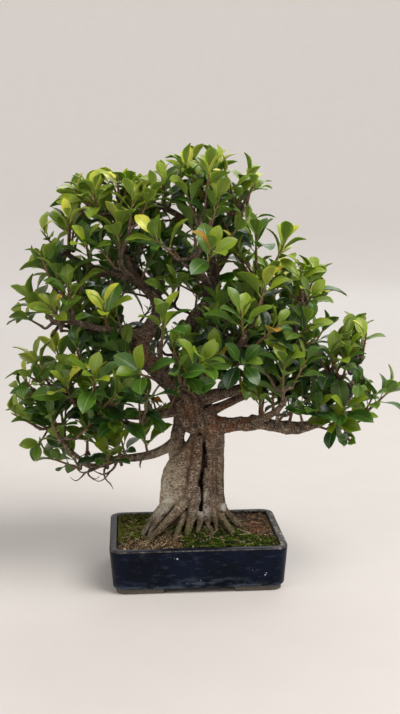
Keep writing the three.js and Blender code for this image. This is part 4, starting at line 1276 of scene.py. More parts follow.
    def add_twig(self, shoot: Shoot, leaves: list[Leaf], heap: Heap, rod: TubeMaster) -> None:
        """Adds a shoot's twig to a mesh, just past its last leaf, with its pointed bud."""
        last = max((float((leaf.root - shoot.base) @ shoot.heading) for leaf in leaves), default=0)
        whole = GAP + TWIG_LENGTH
        length = whole if shoot.number < len(self.shoots) else np.clip(last + 1, 5, whole)
        knots = ((-1.5, TWIG_ROOT), (0.5 * length, 1.25), (length, 0.95), (length + 3.2, 0.85),
                 (length + 6.4, 0.12))
        points, place = rod.along(Course(tuple((*(shoot.base + shoot.heading * x), r) for x, r in knots)))
        t = place[:, 1] / (length + 8)
        tone = np.stack([np.full_like(t, chance(shoot.number, 0, 43, 0)), np.clip(t, 0, 1),
                         np.zeros_like(t), np.ones_like(t)], 1)
        heap.add(points, rod.faces, tone, place / 10, 1)

    def build(self, leaf_finish: Material, twig_finish: Material) -> None:
        """Models every spray with its leaves.

        Args:
            leaf_finish: Material of the leaves.
            twig_finish: Material of the green twigs.
        """
        master = LeafMaster(TubeMaster(4, 3))
        rod = TubeMaster(6, 9)
        rng = np.random.default_rng(SEED + 1)
        packed = [(shoot, self.packed_leaves(shoot)) for shoot in self.shoots]
        taken = np.concatenate([self.samples(leaf) for _, leaves in packed for leaf in leaves])
        routes = [*BRANCHES.values(), *TRUNK_LIMBS.values(), *(s.route for s in self.shoots)]
        shares = np.linspace(0, 1, 14)
        limbs = [Course(route) for route in routes]
        bark = np.concatenate([np.column_stack([c.at(shares), c.radius(shares)]) for c in limbs])
        total = 0
        for shoot, leaves in packed:
            pad = self._nearest_pad(shoot.base + shoot.heading * TWIG_BACK)
            node = f"spray_{shoot.number + 1:02d}"
            total += self._spray(f"{node}_leaves", [(shoot, leaves, pad)], master, rod,
                                 (leaf_finish, twig_finish), [node])
        groups: dict[int, list[tuple[Shoot, list[Leaf], Pad]]] = {}
        for shoot, pad in self.extra:
            leaves = self.extra_leaves(shoot, taken, bark, rng, 0.92 - 0.1 * pad.youth_and_light)
            if leaves:
                taken = np.vstack([taken, *(self.samples(leaf) for leaf in leaves)])
            groups.setdefault(self.PADS.index(pad), []).append((shoot, leaves, pad))
        for number, members in sorted(groups.items()):
            total += self._spray(f"foliage_pad_{number + 1:02d}", members, master, rod,
                                 (leaf_finish, twig_finish), [])
        LOG.info("%d leaves in all", total)

    def _spray(self, name: str, members: list[tuple[Shoot, list[Leaf], Pad]], master: LeafMaster,
               rod: TubeMaster, finishes: tuple[Material, Material],
               replaces: list[str]) -> int:
        """Models one piece of foliage and hands it over.

        Args:
            name: Its name.
            members: Its shoots, each with its leaves and its pad.
            master: Leaf to copy.
            rod: Twig to copy.
            finishes: Materials of the leaves and of the twigs.
            replaces: CAD nodes that it stands for.

        Returns:
            The number of its leaves.
        """
        heap = Heap()
        for shoot, leaves, pad in members:
            self.add_twig(shoot, leaves, heap, rod)
            for leaf in leaves:
                leaf.youth_and_light = self.youth_and_light_of(leaf, pad)
                droop = 0.05 + 0.1 * chance(*leaf.key, 44, 0)
                master.copy(leaf, heap, 0.4, droop)
        self.shop.hand_over(heap.build(name, self.shop), Slot.LEAVES, finishes, replaces)
        return sum(len(leaves) for _, leaves, _ in members)


# The pot and what lies in it

@dataclass
class GlazedPot:
    """The low rectangular pot on four corner feet, with its drain holes.

    Attributes:
        shop: Where the pieces are handed over.
        corner_steps: Faces round each corner.
        rim: Steps of the rounded rim from outside in, as inset and rise.
        lip: Steps of the rim's inner edge, as inset and drop.
        notches: Gaps between the feet along the front and along the sides.
        slant: How much wider each gap is at the bottom.
        drain_place: How far each drain hole lies from the middle.
        drain_radius: Radius of the drain holes.
    """

    shop: Workshop
    corner_steps: int = 9
    rim: tuple[tuple[float, float], ...] = ((0.15, 0.6), (0.3, 0.5), (0.45, 0.32), (0.7, 0.13))
    lip: tuple[tuple[float, float], ...] = ((0.45, -0.1), (0.35, -0.25), (0.2, -0.4), (0.1, -0.5))
    notches: tuple[float, float] = (76.0, 58.0)
    slant: float = 4.0
    drain_place: float = 52.0
    drain_radius: float = 8.0

    def _rounded_plate(self, half: tuple[float, float], radius: float, z: float) -> Piece:
        """Models a flat plate with rounded corners and leaves it in edit mode, all selected."""
        middle = self.shop.place(0, 0, z)
        plate = primitive("plane", size=2, location=middle)
        open_mesh()
        ops.transform.resize(value=(half[0] * MM, half[1] * MM, 1), center_override=middle)
        ops.mesh.bevel(offset=radius * MM, segments=self.corner_steps, affect="VERTICES")
        ops.mesh.select_all(action="SELECT")
        return plate

    def _raise(self, height: float, grow: tuple[float, float], z: float) -> None:
        """Extrudes the selected face upwards and widens it about the pot's middle."""
        ops.mesh.extrude_region_move(TRANSFORM_OT_translate=lift(height * MM))
        ops.transform.resize(value=(*grow, 1), center_override=self.shop.place(0, 0, z + height))

    def _body(self) -> Piece:
        """Models the bowl of the pot."""
        bevel = 1.5
        half = (POT_BASE_WIDTH / 2 - bevel, POT_BASE_DEPTH / 2 - bevel)
        body = self._rounded_plate(half, CORNER_RADIUS - bevel, FOOT_HEIGHT)
        last = np.array(half)
        shoulder = POT_HEIGHT - sum(rise for _, rise in self.rim)
        profile = [(0.35, 0.675), (0.8, 1.2), (1.5, 1.5)]
        profile += [(1.5 + (shoulder - FOOT_HEIGHT - 1.5) * i / 6, 1.5 + 3.5 * i / 6) for i in range(1, 7)]
        level = 0.0
        for rise, out in profile:
            wide = np.array(half) + [out, out if out <= bevel else bevel + (out - bevel) * 3 / 3.5]
            self._raise(rise - level, tuple(wide / last), FOOT_HEIGHT + level)
            last, level = wide, rise
        for inset, rise in self.rim:
            ops.mesh.inset(thickness=inset * MM, depth=rise * MM)
        across = WALL - sum(i for i, _ in self.rim) - sum(i for i, _ in self.lip)
        ops.mesh.inset(thickness=across * MM, depth=0)
        for inset, drop in self.lip:
            ops.mesh.inset(thickness=inset * MM, depth=drop * MM)
        level = POT_HEIGHT + sum(d for _, d in self.lip)
        self._raise(FLOOR_TOP + 2 - level, (0.972, 0.968), level)
        ops.mesh.inset(thickness=2 * MM, depth=-1.5 * MM)
        ops.mesh.inset(thickness=2 * MM, depth=-0.5 * MM)
        close_mesh()
        return body

    def _slab(self, half: tuple[float, float], radius: float, low: float, high: float) -> Piece:
        """Models a solid slab with rounded corners between two heights."""
        slab = self._rounded_plate(half, radius, low)
        ops.mesh.extrude_region_move(TRANSFORM_OT_translate=lift((high - low) * MM))
        close_mesh(inwards=False)
        return slab

    def _feet(self) -> Piece:
        """Models the four corner feet as a band cut by the gaps."""
        inset, band = 3.4, 14.0
        half = (POT_BASE_WIDTH / 2 - inset, POT_BASE_DEPTH / 2 - inset)
        feet = self._slab(half, CORNER_RADIUS - inset, 0, FOOT_HEIGHT + 1.2)
        room = self._slab(tuple(h - band for h in half), 3, -2, FOOT_HEIGHT + 3)
        self._cut(feet, room, "DIFFERENCE")
        for axis, gap in enumerate(self.notches):
            self._cut(feet, self._wedge(axis, gap), "DIFFERENCE")
        apply_modifier(feet, "BEVEL", width=0.6 * MM, segments=2, limit_method="ANGLE", angle_limit=0.7)
        return feet

    def _wedge(self, axis: int, gap: float) -> Piece:
        """Models the block that cuts the gap between two feet."""
        middle = self.shop.place(0, 0, FOOT_HEIGHT / 2)
        block = primitive("cube", size=2, location=middle)
        for vertex in block.data.vertices:
            away = vertex.co - middle
            upper = away.z > 0
            half = gap / 2 + (0 if upper else self.slant)
            away.z = (FOOT_HEIGHT if upper else -FOOT_HEIGHT) * MM
            away[axis] = math.copysign(half * MM, away[axis])
            away[1 - axis] = math.copysign(POT_WIDTH * MM, away[1 - axis])
            vertex.co = middle + away
        return block

    @staticmethod
    def _cut(piece: Piece, other: Piece, operation: str) -> None:
        """Cuts or joins another body into a piece and removes the other."""
        apply_modifier(piece, "BOOLEAN", object=other, operation=operation, solver="EXACT")
        bpy.data.objects.remove(other)

    def build(self, glaze: Material) -> Piece:
        """Models the pot.

        Args:
            glaze: Material of the whole pot, bare clay at its feet.

        Returns:
            The piece.
        """
        pot = self._body()
        self._cut(pot, self._feet(), "UNION")
        for side in (-1, 1):
            drill = primitive("cylinder", vertices=32, radius=self.drain_radius * MM, depth=16 * MM,
                              location=self.shop.place(side * self.drain_place, 0, 9))
            self._cut(pot, drill, "DIFFERENCE")
        apply_modifier(pot, "WELD", merge_threshold=0.03 * MM)
        pick(pot)
        ops.object.shade_smooth_by_angle(angle=math.radians(42))
        pot.name = pot.data.name = "pot_glazed"
        return self.shop.hand_over(pot, Slot.POT, [glaze], ["pot"])


@dataclass
class Ground:
    """The heap of soil, its grit, the moss, the litter and the fine roots that lie on it.

    Attributes:
        shop: Where the pieces are handed over.
        grains: How many grains of grit lie on the soil.
        tufts: How many tufts the moss has in all.
        flakes: How many dried flakes are scattered at most.
        straws: How many dried stalks lie on top at most.
        roots: How many thin roots leave the trunk at most.
    """

    shop: Workshop
    grains: int = 8600
    tufts: int = 27000
    flakes: int = 420
    straws: int = 120
    roots: int = 44

    GRIT_RADIUS = (0.45, 1.35)
    COLUMNS = ((-19, 8, 17), (20, 10, 15), (2, 26, 14))

    @property
    def half(self) -> tuple[float, float]:
        """Half width and half depth of the room inside the rim."""
        share = (POT_HEIGHT - 3.5 - FOOT_HEIGHT) / (POT_HEIGHT - FOOT_HEIGHT)
        return tuple((base + (top - base) * share) / 2 - WALL - GAP for base, top in
                     ((POT_BASE_WIDTH, POT_WIDTH), (POT_BASE_DEPTH, POT_DEPTH)))

    def height(self, x: float, y: float) -> float:
        """Gives the height of the soil: level by the walls, heaped round the trunk, lumpy."""
        away = ((x - 2) ** 2 + ((y - 8) * 1.15) ** 2) / 46 ** 2
        lumps = lumps_at(x, y, 11, 1) + 0.5 * lumps_at(x, y, 4, 5)
        return POT_HEIGHT - 3.5 + 11 * math.exp(-away) + lumps

    def _within(self, x: float, y: float, slack: float = 0.0) -> bool:
        """Tells whether a point lies inside the rounded rectangle of the soil."""
        wide, deep = self.half
        radius = CORNER_RADIUS - WALL
        out = (abs(x) - (wide - radius), abs(y) - (deep - radius))
        return math.hypot(max(out[0], 0), max(out[1], 0)) < radius - slack

    @staticmethod
    def moss_share(x: float, y: float) -> tuple[float, float]:
        """Gives how thickly the moss at the back left and along the front covers a point."""
        ragged = 10 * lumps_at(x, y, 13, 8) + 8 * lumps_at(x, y, 4.5, 3)
        bald = 14 * max(0.0, lumps_at(x, y, 8, 21) - 0.22)
        back = min(-34 - x, (y + 26 - 0.5 * (x + 60)) * 0.9, 12) + ragged - bald
        front = min(x + 22, -6 - y - 0.06 * abs(x), (30 - 0.7 * x - y) * 0.8, 12) + ragged - bald
        return tuple(min(max(share / 8, 0.0), 1.0) for share in (back, front))

    def build_soil(self, finish: Material) -> None:
        """Models the heap of soil as a closed body."""
        middle = self.shop.place(0, 0, 0)
        soil = primitive("grid", x_subdivisions=150, y_subdivisions=114, size=2, location=middle)
        wide, deep = self.half
        radius = CORNER_RADIUS - WALL
        for vertex in soil.data.vertices:
            x, y = (vertex.co.x - middle.x) * wide, (vertex.co.y - middle.y) * deep
            core = (max(min(x, wide - radius), radius - wide), max(min(y, deep - radius), radius - deep))
            out = Vector((x - core[0], y - core[1]))
            if out.x and out.y:
                edge = max(abs(out.x), abs(out.y))
                out = out.normalized() * edge
            x, y = core[0] + out.x, core[1] + out.y
            vertex.co = self.shop.place(x, y, self.height(x, y))
        open_mesh("DESELECT")
        ops.mesh.select_mode(type="EDGE")
        ops.mesh.select_non_manifold()
        ops.mesh.extrude_edges_move(TRANSFORM_OT_translate=lift(-30 * MM))
        ops.mesh.edge_face_add()
        close_mesh(inwards=False)
        for vertex in soil.data.vertices:
            vertex.co.z = max(vertex.co.z, (FLOOR_TOP + 2) * MM)
        pick(soil)
        ops.object.shade_smooth_by_angle(angle=math.radians(60))
        soil.name = soil.data.name = "soil_heap"
        self.shop.hand_over(soil, Slot.SOIL, [finish], ["soil"])

    @staticmethod
    def _turn(rng: np.random.Generator) -> Array:
        """Draws a rotation matrix."""
        axes, _ = np.linalg.qr(rng.normal(size=(3, 3)))
        return axes * np.sign(np.linalg.det(axes))

    def _drawn_spot(self, rng: np.random.Generator, slack: float) -> tuple[float, float]:
        """Draws a point of the soil that the trunk doesn't cover."""
        wide, deep = self.half
        while True:
            x, y = rng.uniform(-wide, wide), rng.uniform(-deep, deep)
            under = any(math.hypot(x - cx, y - cy) < r for cx, cy, r in self.COLUMNS)
            if self._within(x, y, slack) and not under:
                return x, y

    def build_grit(self, finish: Material) -> None:
        """Scatters angular grains over the soil, sparsely where moss covers it."""
        points, faces = taken_apart(primitive("ico_sphere", subdivisions=1, radius=1))
        rng = np.random.default_rng(SEED + 2)
        heap = Heap()
        for _ in range(self.grains):
            x, y = self._drawn_spot(rng, 1.2)
            moss = max(self.moss_share(x, y))
            if rng.random() < moss * 0.95:
                continue
            pebbly = 1.2 if x < -40 and y < -36 else 1.0
            least, most = self.GRIT_RADIUS
            size = pebbly * (least + (most - least) * rng.random() ** 2.8)
            shape = points * (1 + 0.22 * rng.normal(size=(len(points), 1))) * rng.uniform(0.65, 1.2, 3)
            middle = np.array([x, y, self.height(x, y) + size * rng.uniform(-0.1, 0.6) + 3.0 * moss])
            tone = np.array([rng.random(), rng.random(), 1.0 if pebbly > 1 else 0.0, 1.0])
            heap.add(middle + shape @ self._turn(rng) * size, faces, tone)
        self.shop.hand_over(heap.build("soil_grit", self.shop, smooth=False), Slot.SOIL, [finish])

    def build_moss(self, finish: Material) -> None:
        """Models the two carpets of moss, each a lumpy cushion covered in tufts."""
        wide, deep = self.half
        areas = ((-wide, -30, -60, deep, "moss_back_left"), (-34, wide, -deep, -4, "moss_front"))
        rng = np.random.default_rng(SEED + 3)
        for index, (left, right, near, far, node) in enumerate(areas):
            cushion = self._cushion(index, (left, right, near, far))
            heap = Heap()
            points, faces = taken_apart(cushion)
            # The back left carpet is marked for painted sunlight
            sunny = 1 - index
            heap.add(self.shop.to_pot(points), faces, np.array([0.5, 0.25, sunny, 1]))
            blade = np.array([[0.42, 0, 0], [-0.22, 0.36, 0], [-0.22, -0.36, 0], [0, 0, 1]])
            sides = [[0, 2, 1], [0, 1, 3], [1, 2, 3], [2, 0, 3]]
            share = (right - left) * (far - near) / sum((a[1] - a[0]) * (a[3] - a[2]) for a in areas)
            for _ in range(int(self.tufts * share)):
                x, y = rng.uniform(left, right), rng.uniform(near, far)
                moss = self.moss_share(x, y)[index]
                if rng.random() > moss or not self._within(x, y, 1.0):
                    continue
                tall = rng.uniform(0.8, 2.3) * (0.55 + 0.45 * moss)
                lean = rng.normal(size=2) * 0.6
                spin = rng.uniform(0, 2 * math.pi)
                cos, sin = math.cos(spin), math.sin(spin)
                stem = np.array([[cos, -sin, 0], [sin, cos, 0], [lean[0], lean[1], tall]])
                middle = np.array([x, y, self._moss_height(x, y, index) - 0.3])
                tone = np.array([[rng.random(), h, sunny, 1] for h in (0.3, 0.3, 0.3, 1.0)])
                heap.add(middle + blade @ stem * rng.uniform(0.7, 1.1), sides, tone)
            carpet = heap.build(node + "_carpet", self.shop)
            self.shop.hand_over(carpet, Slot.MOSS, [finish], [node])

    def _moss_height(self, x: float, y: float, index: int) -> float:
        """Gives the height of a carpet's cushion."""
        lumps = 3.0 * lumps_at(x, y, 10, 11) + 2.0 * lumps_at(x, y, 4.5, 2)
        return self.height(x, y) + self.moss_share(x, y)[index] * (2.6 + lumps) - 0.4

    def _cushion(self, index: int, area: tuple[float, float, float, float]) -> Piece:
        """Models the cushion of a carpet from a grid, cut to the moss and thickened."""
        left, right, near, far = area
        sheet = primitive("grid", x_subdivisions=int((right - left) / 1.6),
                          y_subdivisions=int((far - near) / 1.6), size=2)
        outside = []
        for vertex in sheet.data.vertices:
            x = (left + right) / 2 + vertex.co.x * (right - left) / 2
            y = (near + far) / 2 + vertex.co.y * (far - near) / 2
            outside.append(self.moss_share(x, y)[index] <= 0 or not self._within(x, y, 0.4))
            vertex.co = self.shop.place(x, y, self._moss_height(x, y, index))
        sheet.data.vertices.foreach_set("select", outside)
        for items in (sheet.data.edges, sheet.data.polygons):
            items.foreach_set("select", [any(outside[v] for v in item.vertices) for item in items])
        ops.object.mode_set(mode="EDIT")
        ops.mesh.select_mode(type="FACE")
        ops.mesh.delete(type="FACE")
        ops.mesh.select_all(action="SELECT")
        ops.mesh.delete_loose()
        close_mesh()
        apply_modifier(sheet, "SOLIDIFY", thickness=2.2 * MM, offset=-1)
        return sheet

    def build_litter(self, flake_finish: Material, straw_finish: Material) -> None:
        """Scatters dried flakes at the right and pale stalks over the soil."""
        rng = np.random.default_rng(SEED + 4)
        sheet = primitive("grid", x_subdivisions=2, y_subdivisions=2, size=2)
        apply_modifier(sheet, "SOLIDIFY", thickness=0.14)
        points, faces = taken_apart(sheet)
        heap = Heap()
        for _ in range(self.flakes):
            crowded = rng.random() < 0.72
            x, y = (rng.normal(66, 14), rng.normal(16, 26)) if crowded else self._drawn_spot(rng, 4)
            if not self._within(x, y, 3) or max(self.moss_share(x, y)) > 0.6:
                continue
            size = rng.uniform(0.8, 2.7)
            bent = points * [size, size * rng.uniform(0.35, 0.8), size]
            bent[:, 2] += 0.5 * (bent[:, 0] ** 2) / size * rng.uniform(-0.8, 0.8)
            bent[:, :2] *= 1 - 0.35 * (np.abs(points[:, :1]) * np.abs(points[:, 1:2]))
            spin, tilt = rng.uniform(0, 2 * math.pi), rng.normal() * 0.45
            turn = Matrix.Rotation(spin, 3, "Z") @ Matrix.Rotation(tilt, 3, "X")
            middle = np.array([x, y, self.height(x, y) + rng.uniform(0.4, 1.8)])
            heap.add(middle + bent @ np.array(turn).T, faces, np.array([rng.random(), 0, 0, 1]))
        rod = TubeMaster(5, 3)
        for _ in range(self.straws):
            x, y = self._drawn_spot(rng, 5)
            self._stalk(heap, rod, rng, x, y)
        self.shop.hand_over(heap.build("soil_litter", self.shop, smooth=False), Slot.SOIL,
                            [flake_finish, straw_finish])

    def _stalk(self, heap: Heap, rod: TubeMaster, rng: np.random.Generator, x: float, y: float) -> None:
        """Lays one dried stalk on the soil."""
        spin, length = rng.uniform(0, 2 * math.pi), 4 + 15 * rng.random() ** 2
        ends = []
        for share in (-0.5, 0, 0.5):
            px = x + math.cos(spin + share * 0.5) * length * share
            py = y + math.sin(spin + share * 0.5) * length * share
            if not self._within(px, py, 1):
                return
            lift = 0.9 + 1.8 * max(self.moss_share(px, py)) + rng.uniform(0, 1)
            ends.append((px, py, self.height(px, py) + lift, 0.24))
        points, _ = rod.along(Course(tuple(ends)))
        heap.add(points, rod.faces, np.array([rng.random(), 0, 0, 1]), finish=1)

    def root_routes(self) -> list[Route]:
        """Plans the thin roots that wander over the soil from the foot of the trunk.

        Returns:
            Their routes.
        """
        rng = np.random.default_rng(SEED + 5)
        routes = []
        for number in range(self.roots):
            angle = 2 * math.pi * number / self.roots + rng.normal() * 0.12
            middle = np.array([2.0, 10.0])
            reach = 24 + 6 * rng.random() + 9 * abs(math.cos(angle))
            length, radius = rng.uniform(20, 50), rng.uniform(0.7, 2.2)
            points, drift = [], angle
            place = middle + reach * np.array([math.cos(angle), math.sin(angle) * 0.8])
            for step in range(6):
                share = step / 5
                if not self._within(place[0], place[1], 3):
                    break
                rise = (2.2 * (1 - share) ** 2 - 2.4 * share ** 3) + rng.normal() * 0.25
                lift = rise + 0.3 + 2.4 * max(self.moss_share(*place))
                points.append((place[0], place[1], self.height(*place) + lift, radius * (1 - 0.62 * share)))
                drift += rng.normal() * 0.32
                place = place + length / 5 * np.array([math.cos(drift), math.sin(drift)])
            if len(points) > 3:
                routes.append(tuple(points))
        return routes

    def build_roots(self, bark: Material) -> None:
        """Models the thin surface roots."""
        rod = TubeMaster(8, 14)
        heap, place_of = Heap(), []
        for number, route in enumerate(self.root_routes()):
            course = Course(route)
            points, place = rod.along(course, Wood.collared(course, float(number)))
            heap.add(points, rod.faces)
            place_of.append(np.column_stack([place + [0, 41 * number], np.ones(len(place))]))
        piece = heap.build("surface_roots", self.shop)
        points = np.concatenate(heap.points)
        # The noise stands for hollows, which the bark darkens as painted shade
        Wood(self.shop).paint(piece.data, points, np.concatenate(place_of), 0.45 - 0.5 * bumps(points, 4))
        self.shop.hand_over(piece, Slot.BARK, [bark])


# Finishes

@dataclass(frozen=True)
class Signal:
    """An output of a node, which can be reckoned with like a number.

    Attributes:
        recipe: The material that it belongs to.
        socket: The output.
    """

    recipe: "Recipe"
    socket: bpy.types.NodeSocket

    def __add__(self, other: Any) -> "Signal":
        """Gives the sum."""
        return self.recipe.math("ADD", self, other)

    def __sub__(self, other: Any) -> "Signal":
        """Gives the difference."""
        return self.recipe.math("SUBTRACT", self, other)

    def __mul__(self, other: Any) -> "Signal":
        """Gives the product, which for masks is where both are."""
        return self.recipe.math("MULTIPLY", self, other)

    def __or__(self, other: Any) -> "Signal":
        """Gives the larger, which for masks is where either is."""
        return self.recipe.math("MAXIMUM", self, other)

    def __pow__(self, other: Any) -> "Signal":
        """Gives the power."""
        return self.recipe.math("POWER", self, other)

    def __abs__(self) -> "Signal":
        """Gives the size without its sign."""
        return self.recipe.math("ABSOLUTE", self)


@dataclass
class Recipe:
    """A material being put together from nodes.

    Attributes:
        name: Name of the material.
    """

    name: str
    material: Material = field(init=False)
    shader: bpy.types.Node = field(init=False)

    def __post_init__(self) -> None:
        """Makes the material with its shader and output."""
        self.material = bpy.data.materials.new(self.name)
        self.material.use_nodes = True
        self.material.node_tree.nodes.clear()
        self.shader = self.add("BsdfPrincipled")
        self.add("OutputMaterial", Surface=Signal(self, self.shader.outputs["BSDF"]))

    def add(self, kind: str, **settings: Any) -> bpy.types.Node:
        """Adds a node with its settings and links.

        Args:
            kind: Blender's name of the node's type, without its first word.
            settings: The node's own properties in small letters, and its inputs by name with
                underscores for spaces or by number after "in", each a value or a signal to link.

        Returns:
            The node.
        """
        node = self.material.node_tree.nodes.new(f"ShaderNode{kind}")
        for key, value in settings.items():
            if hasattr(node, key) and key.islower():
                setattr(node, key, value)
            else:
                self.set(node, key, value)
        return node

    def set(self, node: bpy.types.Node, key: str, value: Any) -> None:
        """Sets or links one input of a node.

        Args:
            node: The node.
            key: Name or number of the input, as for add.
            value: A number, a hex colour, or a signal to link.
        """
        target = node.inputs[int(key[2:])] if key[2:].isdigit() else node.inputs[key.replace("_", " ")]
        if isinstance(value, Signal):
            self.material.node_tree.links.new(value.socket, target)
        else:
            target.default_value = linear(value) if isinstance(value, str) else value

    def get(self, kind: str, output: int | str = 0, **settings: Any) -> Signal:
        """Adds a node and gives one of its outputs."""
        return Signal(self, self.add(kind, **settings).outputs[output])

    def dress(self, **settings: Any) -> Material:
        """Sets or links inputs of the shader and gives the finished material."""
        for key, value in settings.items():
            self.set(self.shader, key, value)
        return self.material

    def math(self, operation: str, *values: Any) -> Signal:
        """Reckons with numbers or signals."""
        return self.get("Math", operation=operation, **{f"in{i}": value for i, value in enumerate(values)})

    def mix(self, share: Any, first: Any, second: Any, blend: str = "MIX") -> Signal:
        """Mixes two colours."""
        return self.get("Mix", 2, data_type="RGBA", blend_type=blend, clamp_factor=True,
                        in0=share, in6=first, in7=second)

    def ramp(self, value: Signal, low: float, high: float, start: float = 0.0, end: float = 1.0) -> Signal:
        """Spreads a number from one range to another with soft ends."""
        return self.get("MapRange", interpolation_type="SMOOTHSTEP", Value=value, From_Min=low,
                        From_Max=high, To_Min=start, To_Max=end)

    def split(self, vector: Signal) -> tuple[Signal, ...]:
        """Gives the three parts of a vector."""
        return tuple(Signal(self, part) for part in self.add("SeparateXYZ", Vector=vector).outputs)

    def stretched(self, vector: Signal, *scale: float) -> Signal:
        """Gives a vector with each of its parts scaled."""
        return self.get("Mapping", Vector=vector, Scale=scale)

    def places(self, scale: Spot = (1, 1, 1)) -> Signal:
        """Gives places on the object in millimetres, stretched by a scale."""
        return self.stretched(self.get("TexCoord", "Object"), *(s / MM for s in scale))

    def clouds(self, where: Signal, grain: float, detail: float = 4, roughness: float = 0.55,
               warp: float = 0.0) -> Signal:
        """Gives noise whose lumps are about a size in millimetres."""
        return self.get("TexNoise", "Fac", Vector=where, Scale=1 / grain, Detail=detail,
                        Roughness=roughness, Distortion=warp)

    def relief(self, height: Signal, depth: float, strength: float = 1.0,
               below: Signal | None = None) -> Signal:
        """Raises the surface by a height in millimetres, on top of another relief."""
        settings = {} if below is None else {"Normal": below}
        return self.get("Bump", "Normal", Strength=strength, Distance=depth * MM, Height=height, **settings)

    def masks(self) -> tuple[Signal, ...]:
        """Gives the four channels of the piece's own colour attribute."""
        tone = self.add("Attribute", attribute_name="tone")
        colour = Signal(self, tone.outputs["Color"])
        parts = (*self.add("SeparateColor", Color=colour).outputs, tone.outputs["Alpha"])
        return tuple(Signal(self, part) for part in parts)


@dataclass(frozen=True)
class DarkGlaze:
    """Dark blue glazed stoneware, with lime on its rim and bare clay at its feet."""

    navy: str = "#050e21"
    ink: str = "#030814"
    lime: str = "#8a847a"
    film: str = "#4f5966"
    chip: str = "#c4c5c6"
    clay: str = "#68635b"
    CHIPS = ((-25, 41.5, 0.9), (-28, 41.9, 0.3), (73.4, 19.8, 0.7), (74.4, 22, 0.4), (-53, 18, 0.1),
             (-73, 17, 0), (1, 15.5, 0.1), (59, 26, 0))

    def make(self, middle: Array) -> Material:
        """Makes the glaze: near black where thick, with a soft sheen and dried water marks.

        Args:
            middle: Where the middle of the pot lies in the model's frame, in millimetres.

        Returns:
            The material.
        """
        r = Recipe("glazed_stoneware_navy")
        where = r.places()
        *level, rise = r.split(where)
        across, deep = (level[axis] - float(middle[axis]) for axis in (0, 1))
        pooled, speck = r.clouds(where, 26, 3), r.clouds(where, 1.6, 3, 0.7)
        crusty = r.clouds(where, 5.5, 6, 0.7)
        drift = r.clouds(r.places((0.35, 0.6, 1.0)), 5, 6, 0.66)
        colour = r.mix(r.ramp(pooled, 0.35, 0.65), self.navy, self.ink)
        facing = r.ramp(deep, 12 - POT_DEPTH / 2, 4 - POT_DEPTH / 2)
        centred = r.ramp(abs(across - 8), 62, 18, 0.3, 1)
        low = r.ramp(rise, 22, 8) * (centred * facing)
        film = low * r.ramp(drift, 0.44, 0.62)
        foot = r.ramp(rise, 11, 8) * r.ramp(drift, 0.4, 0.58)
        haze = r.ramp(drift, 0.52, 0.72) * 0.22
        film = haze | film * 0.7 | foot * 0.6
        colour = r.mix(film, colour, self.film)
        sides = r.ramp(across, 74, 92) | r.ramp(deep, 44, 62) * 0.85 | r.ramp(across, -82, -92) * 0.3
        top = r.ramp(crusty * 5 + rise, 51.2, 53.4)
        crust = top * sides * r.ramp(crusty, 0.38, 0.6)
        line = r.ramp(rise, 49.2, 50.0) * r.ramp(rise, 51.2, 50.5)
        line = line * r.ramp(drift, 0.34, 0.56, 0.1, 0.55)
        stain = crust | line
        colour = r.mix(stain, colour, r.mix(r.ramp(crusty, 0.42, 0.66), "#504b45", self.lime))
        chips = r.ramp(speck, 0.72, 0.75) * 0.5
        for x, z, size in self.CHIPS:
            away = speck * 3 + r.math("SQRT", (across - x) ** 2 + (rise - z) ** 2)
            chips = chips | r.ramp(away, size + 1.8, size + 1.3) * facing
        colour = r.mix(chips, colour, self.chip)
        bare = r.ramp(pooled * 1.2 + rise, 7.2, 6.2)
        colour = r.mix(bare, colour, r.mix(r.ramp(speck, 0.35, 0.65), self.clay, "#4f4b45"))
        sheen = (bare | stain | film | chips) * 0.45 + 0.3 + crusty * 0.14
        relief = r.relief(r.clouds(where, 11, 2), 0.35, 0.6)
        relief = r.relief((stain | chips) * crusty, 0.5, 0.8, relief)
        return r.dress(Base_Color=colour, Roughness=sheen, IOR=1.5, Specular_IOR_Level=0.1,
                       Normal=r.relief(speck, 0.08, 0.7, relief))


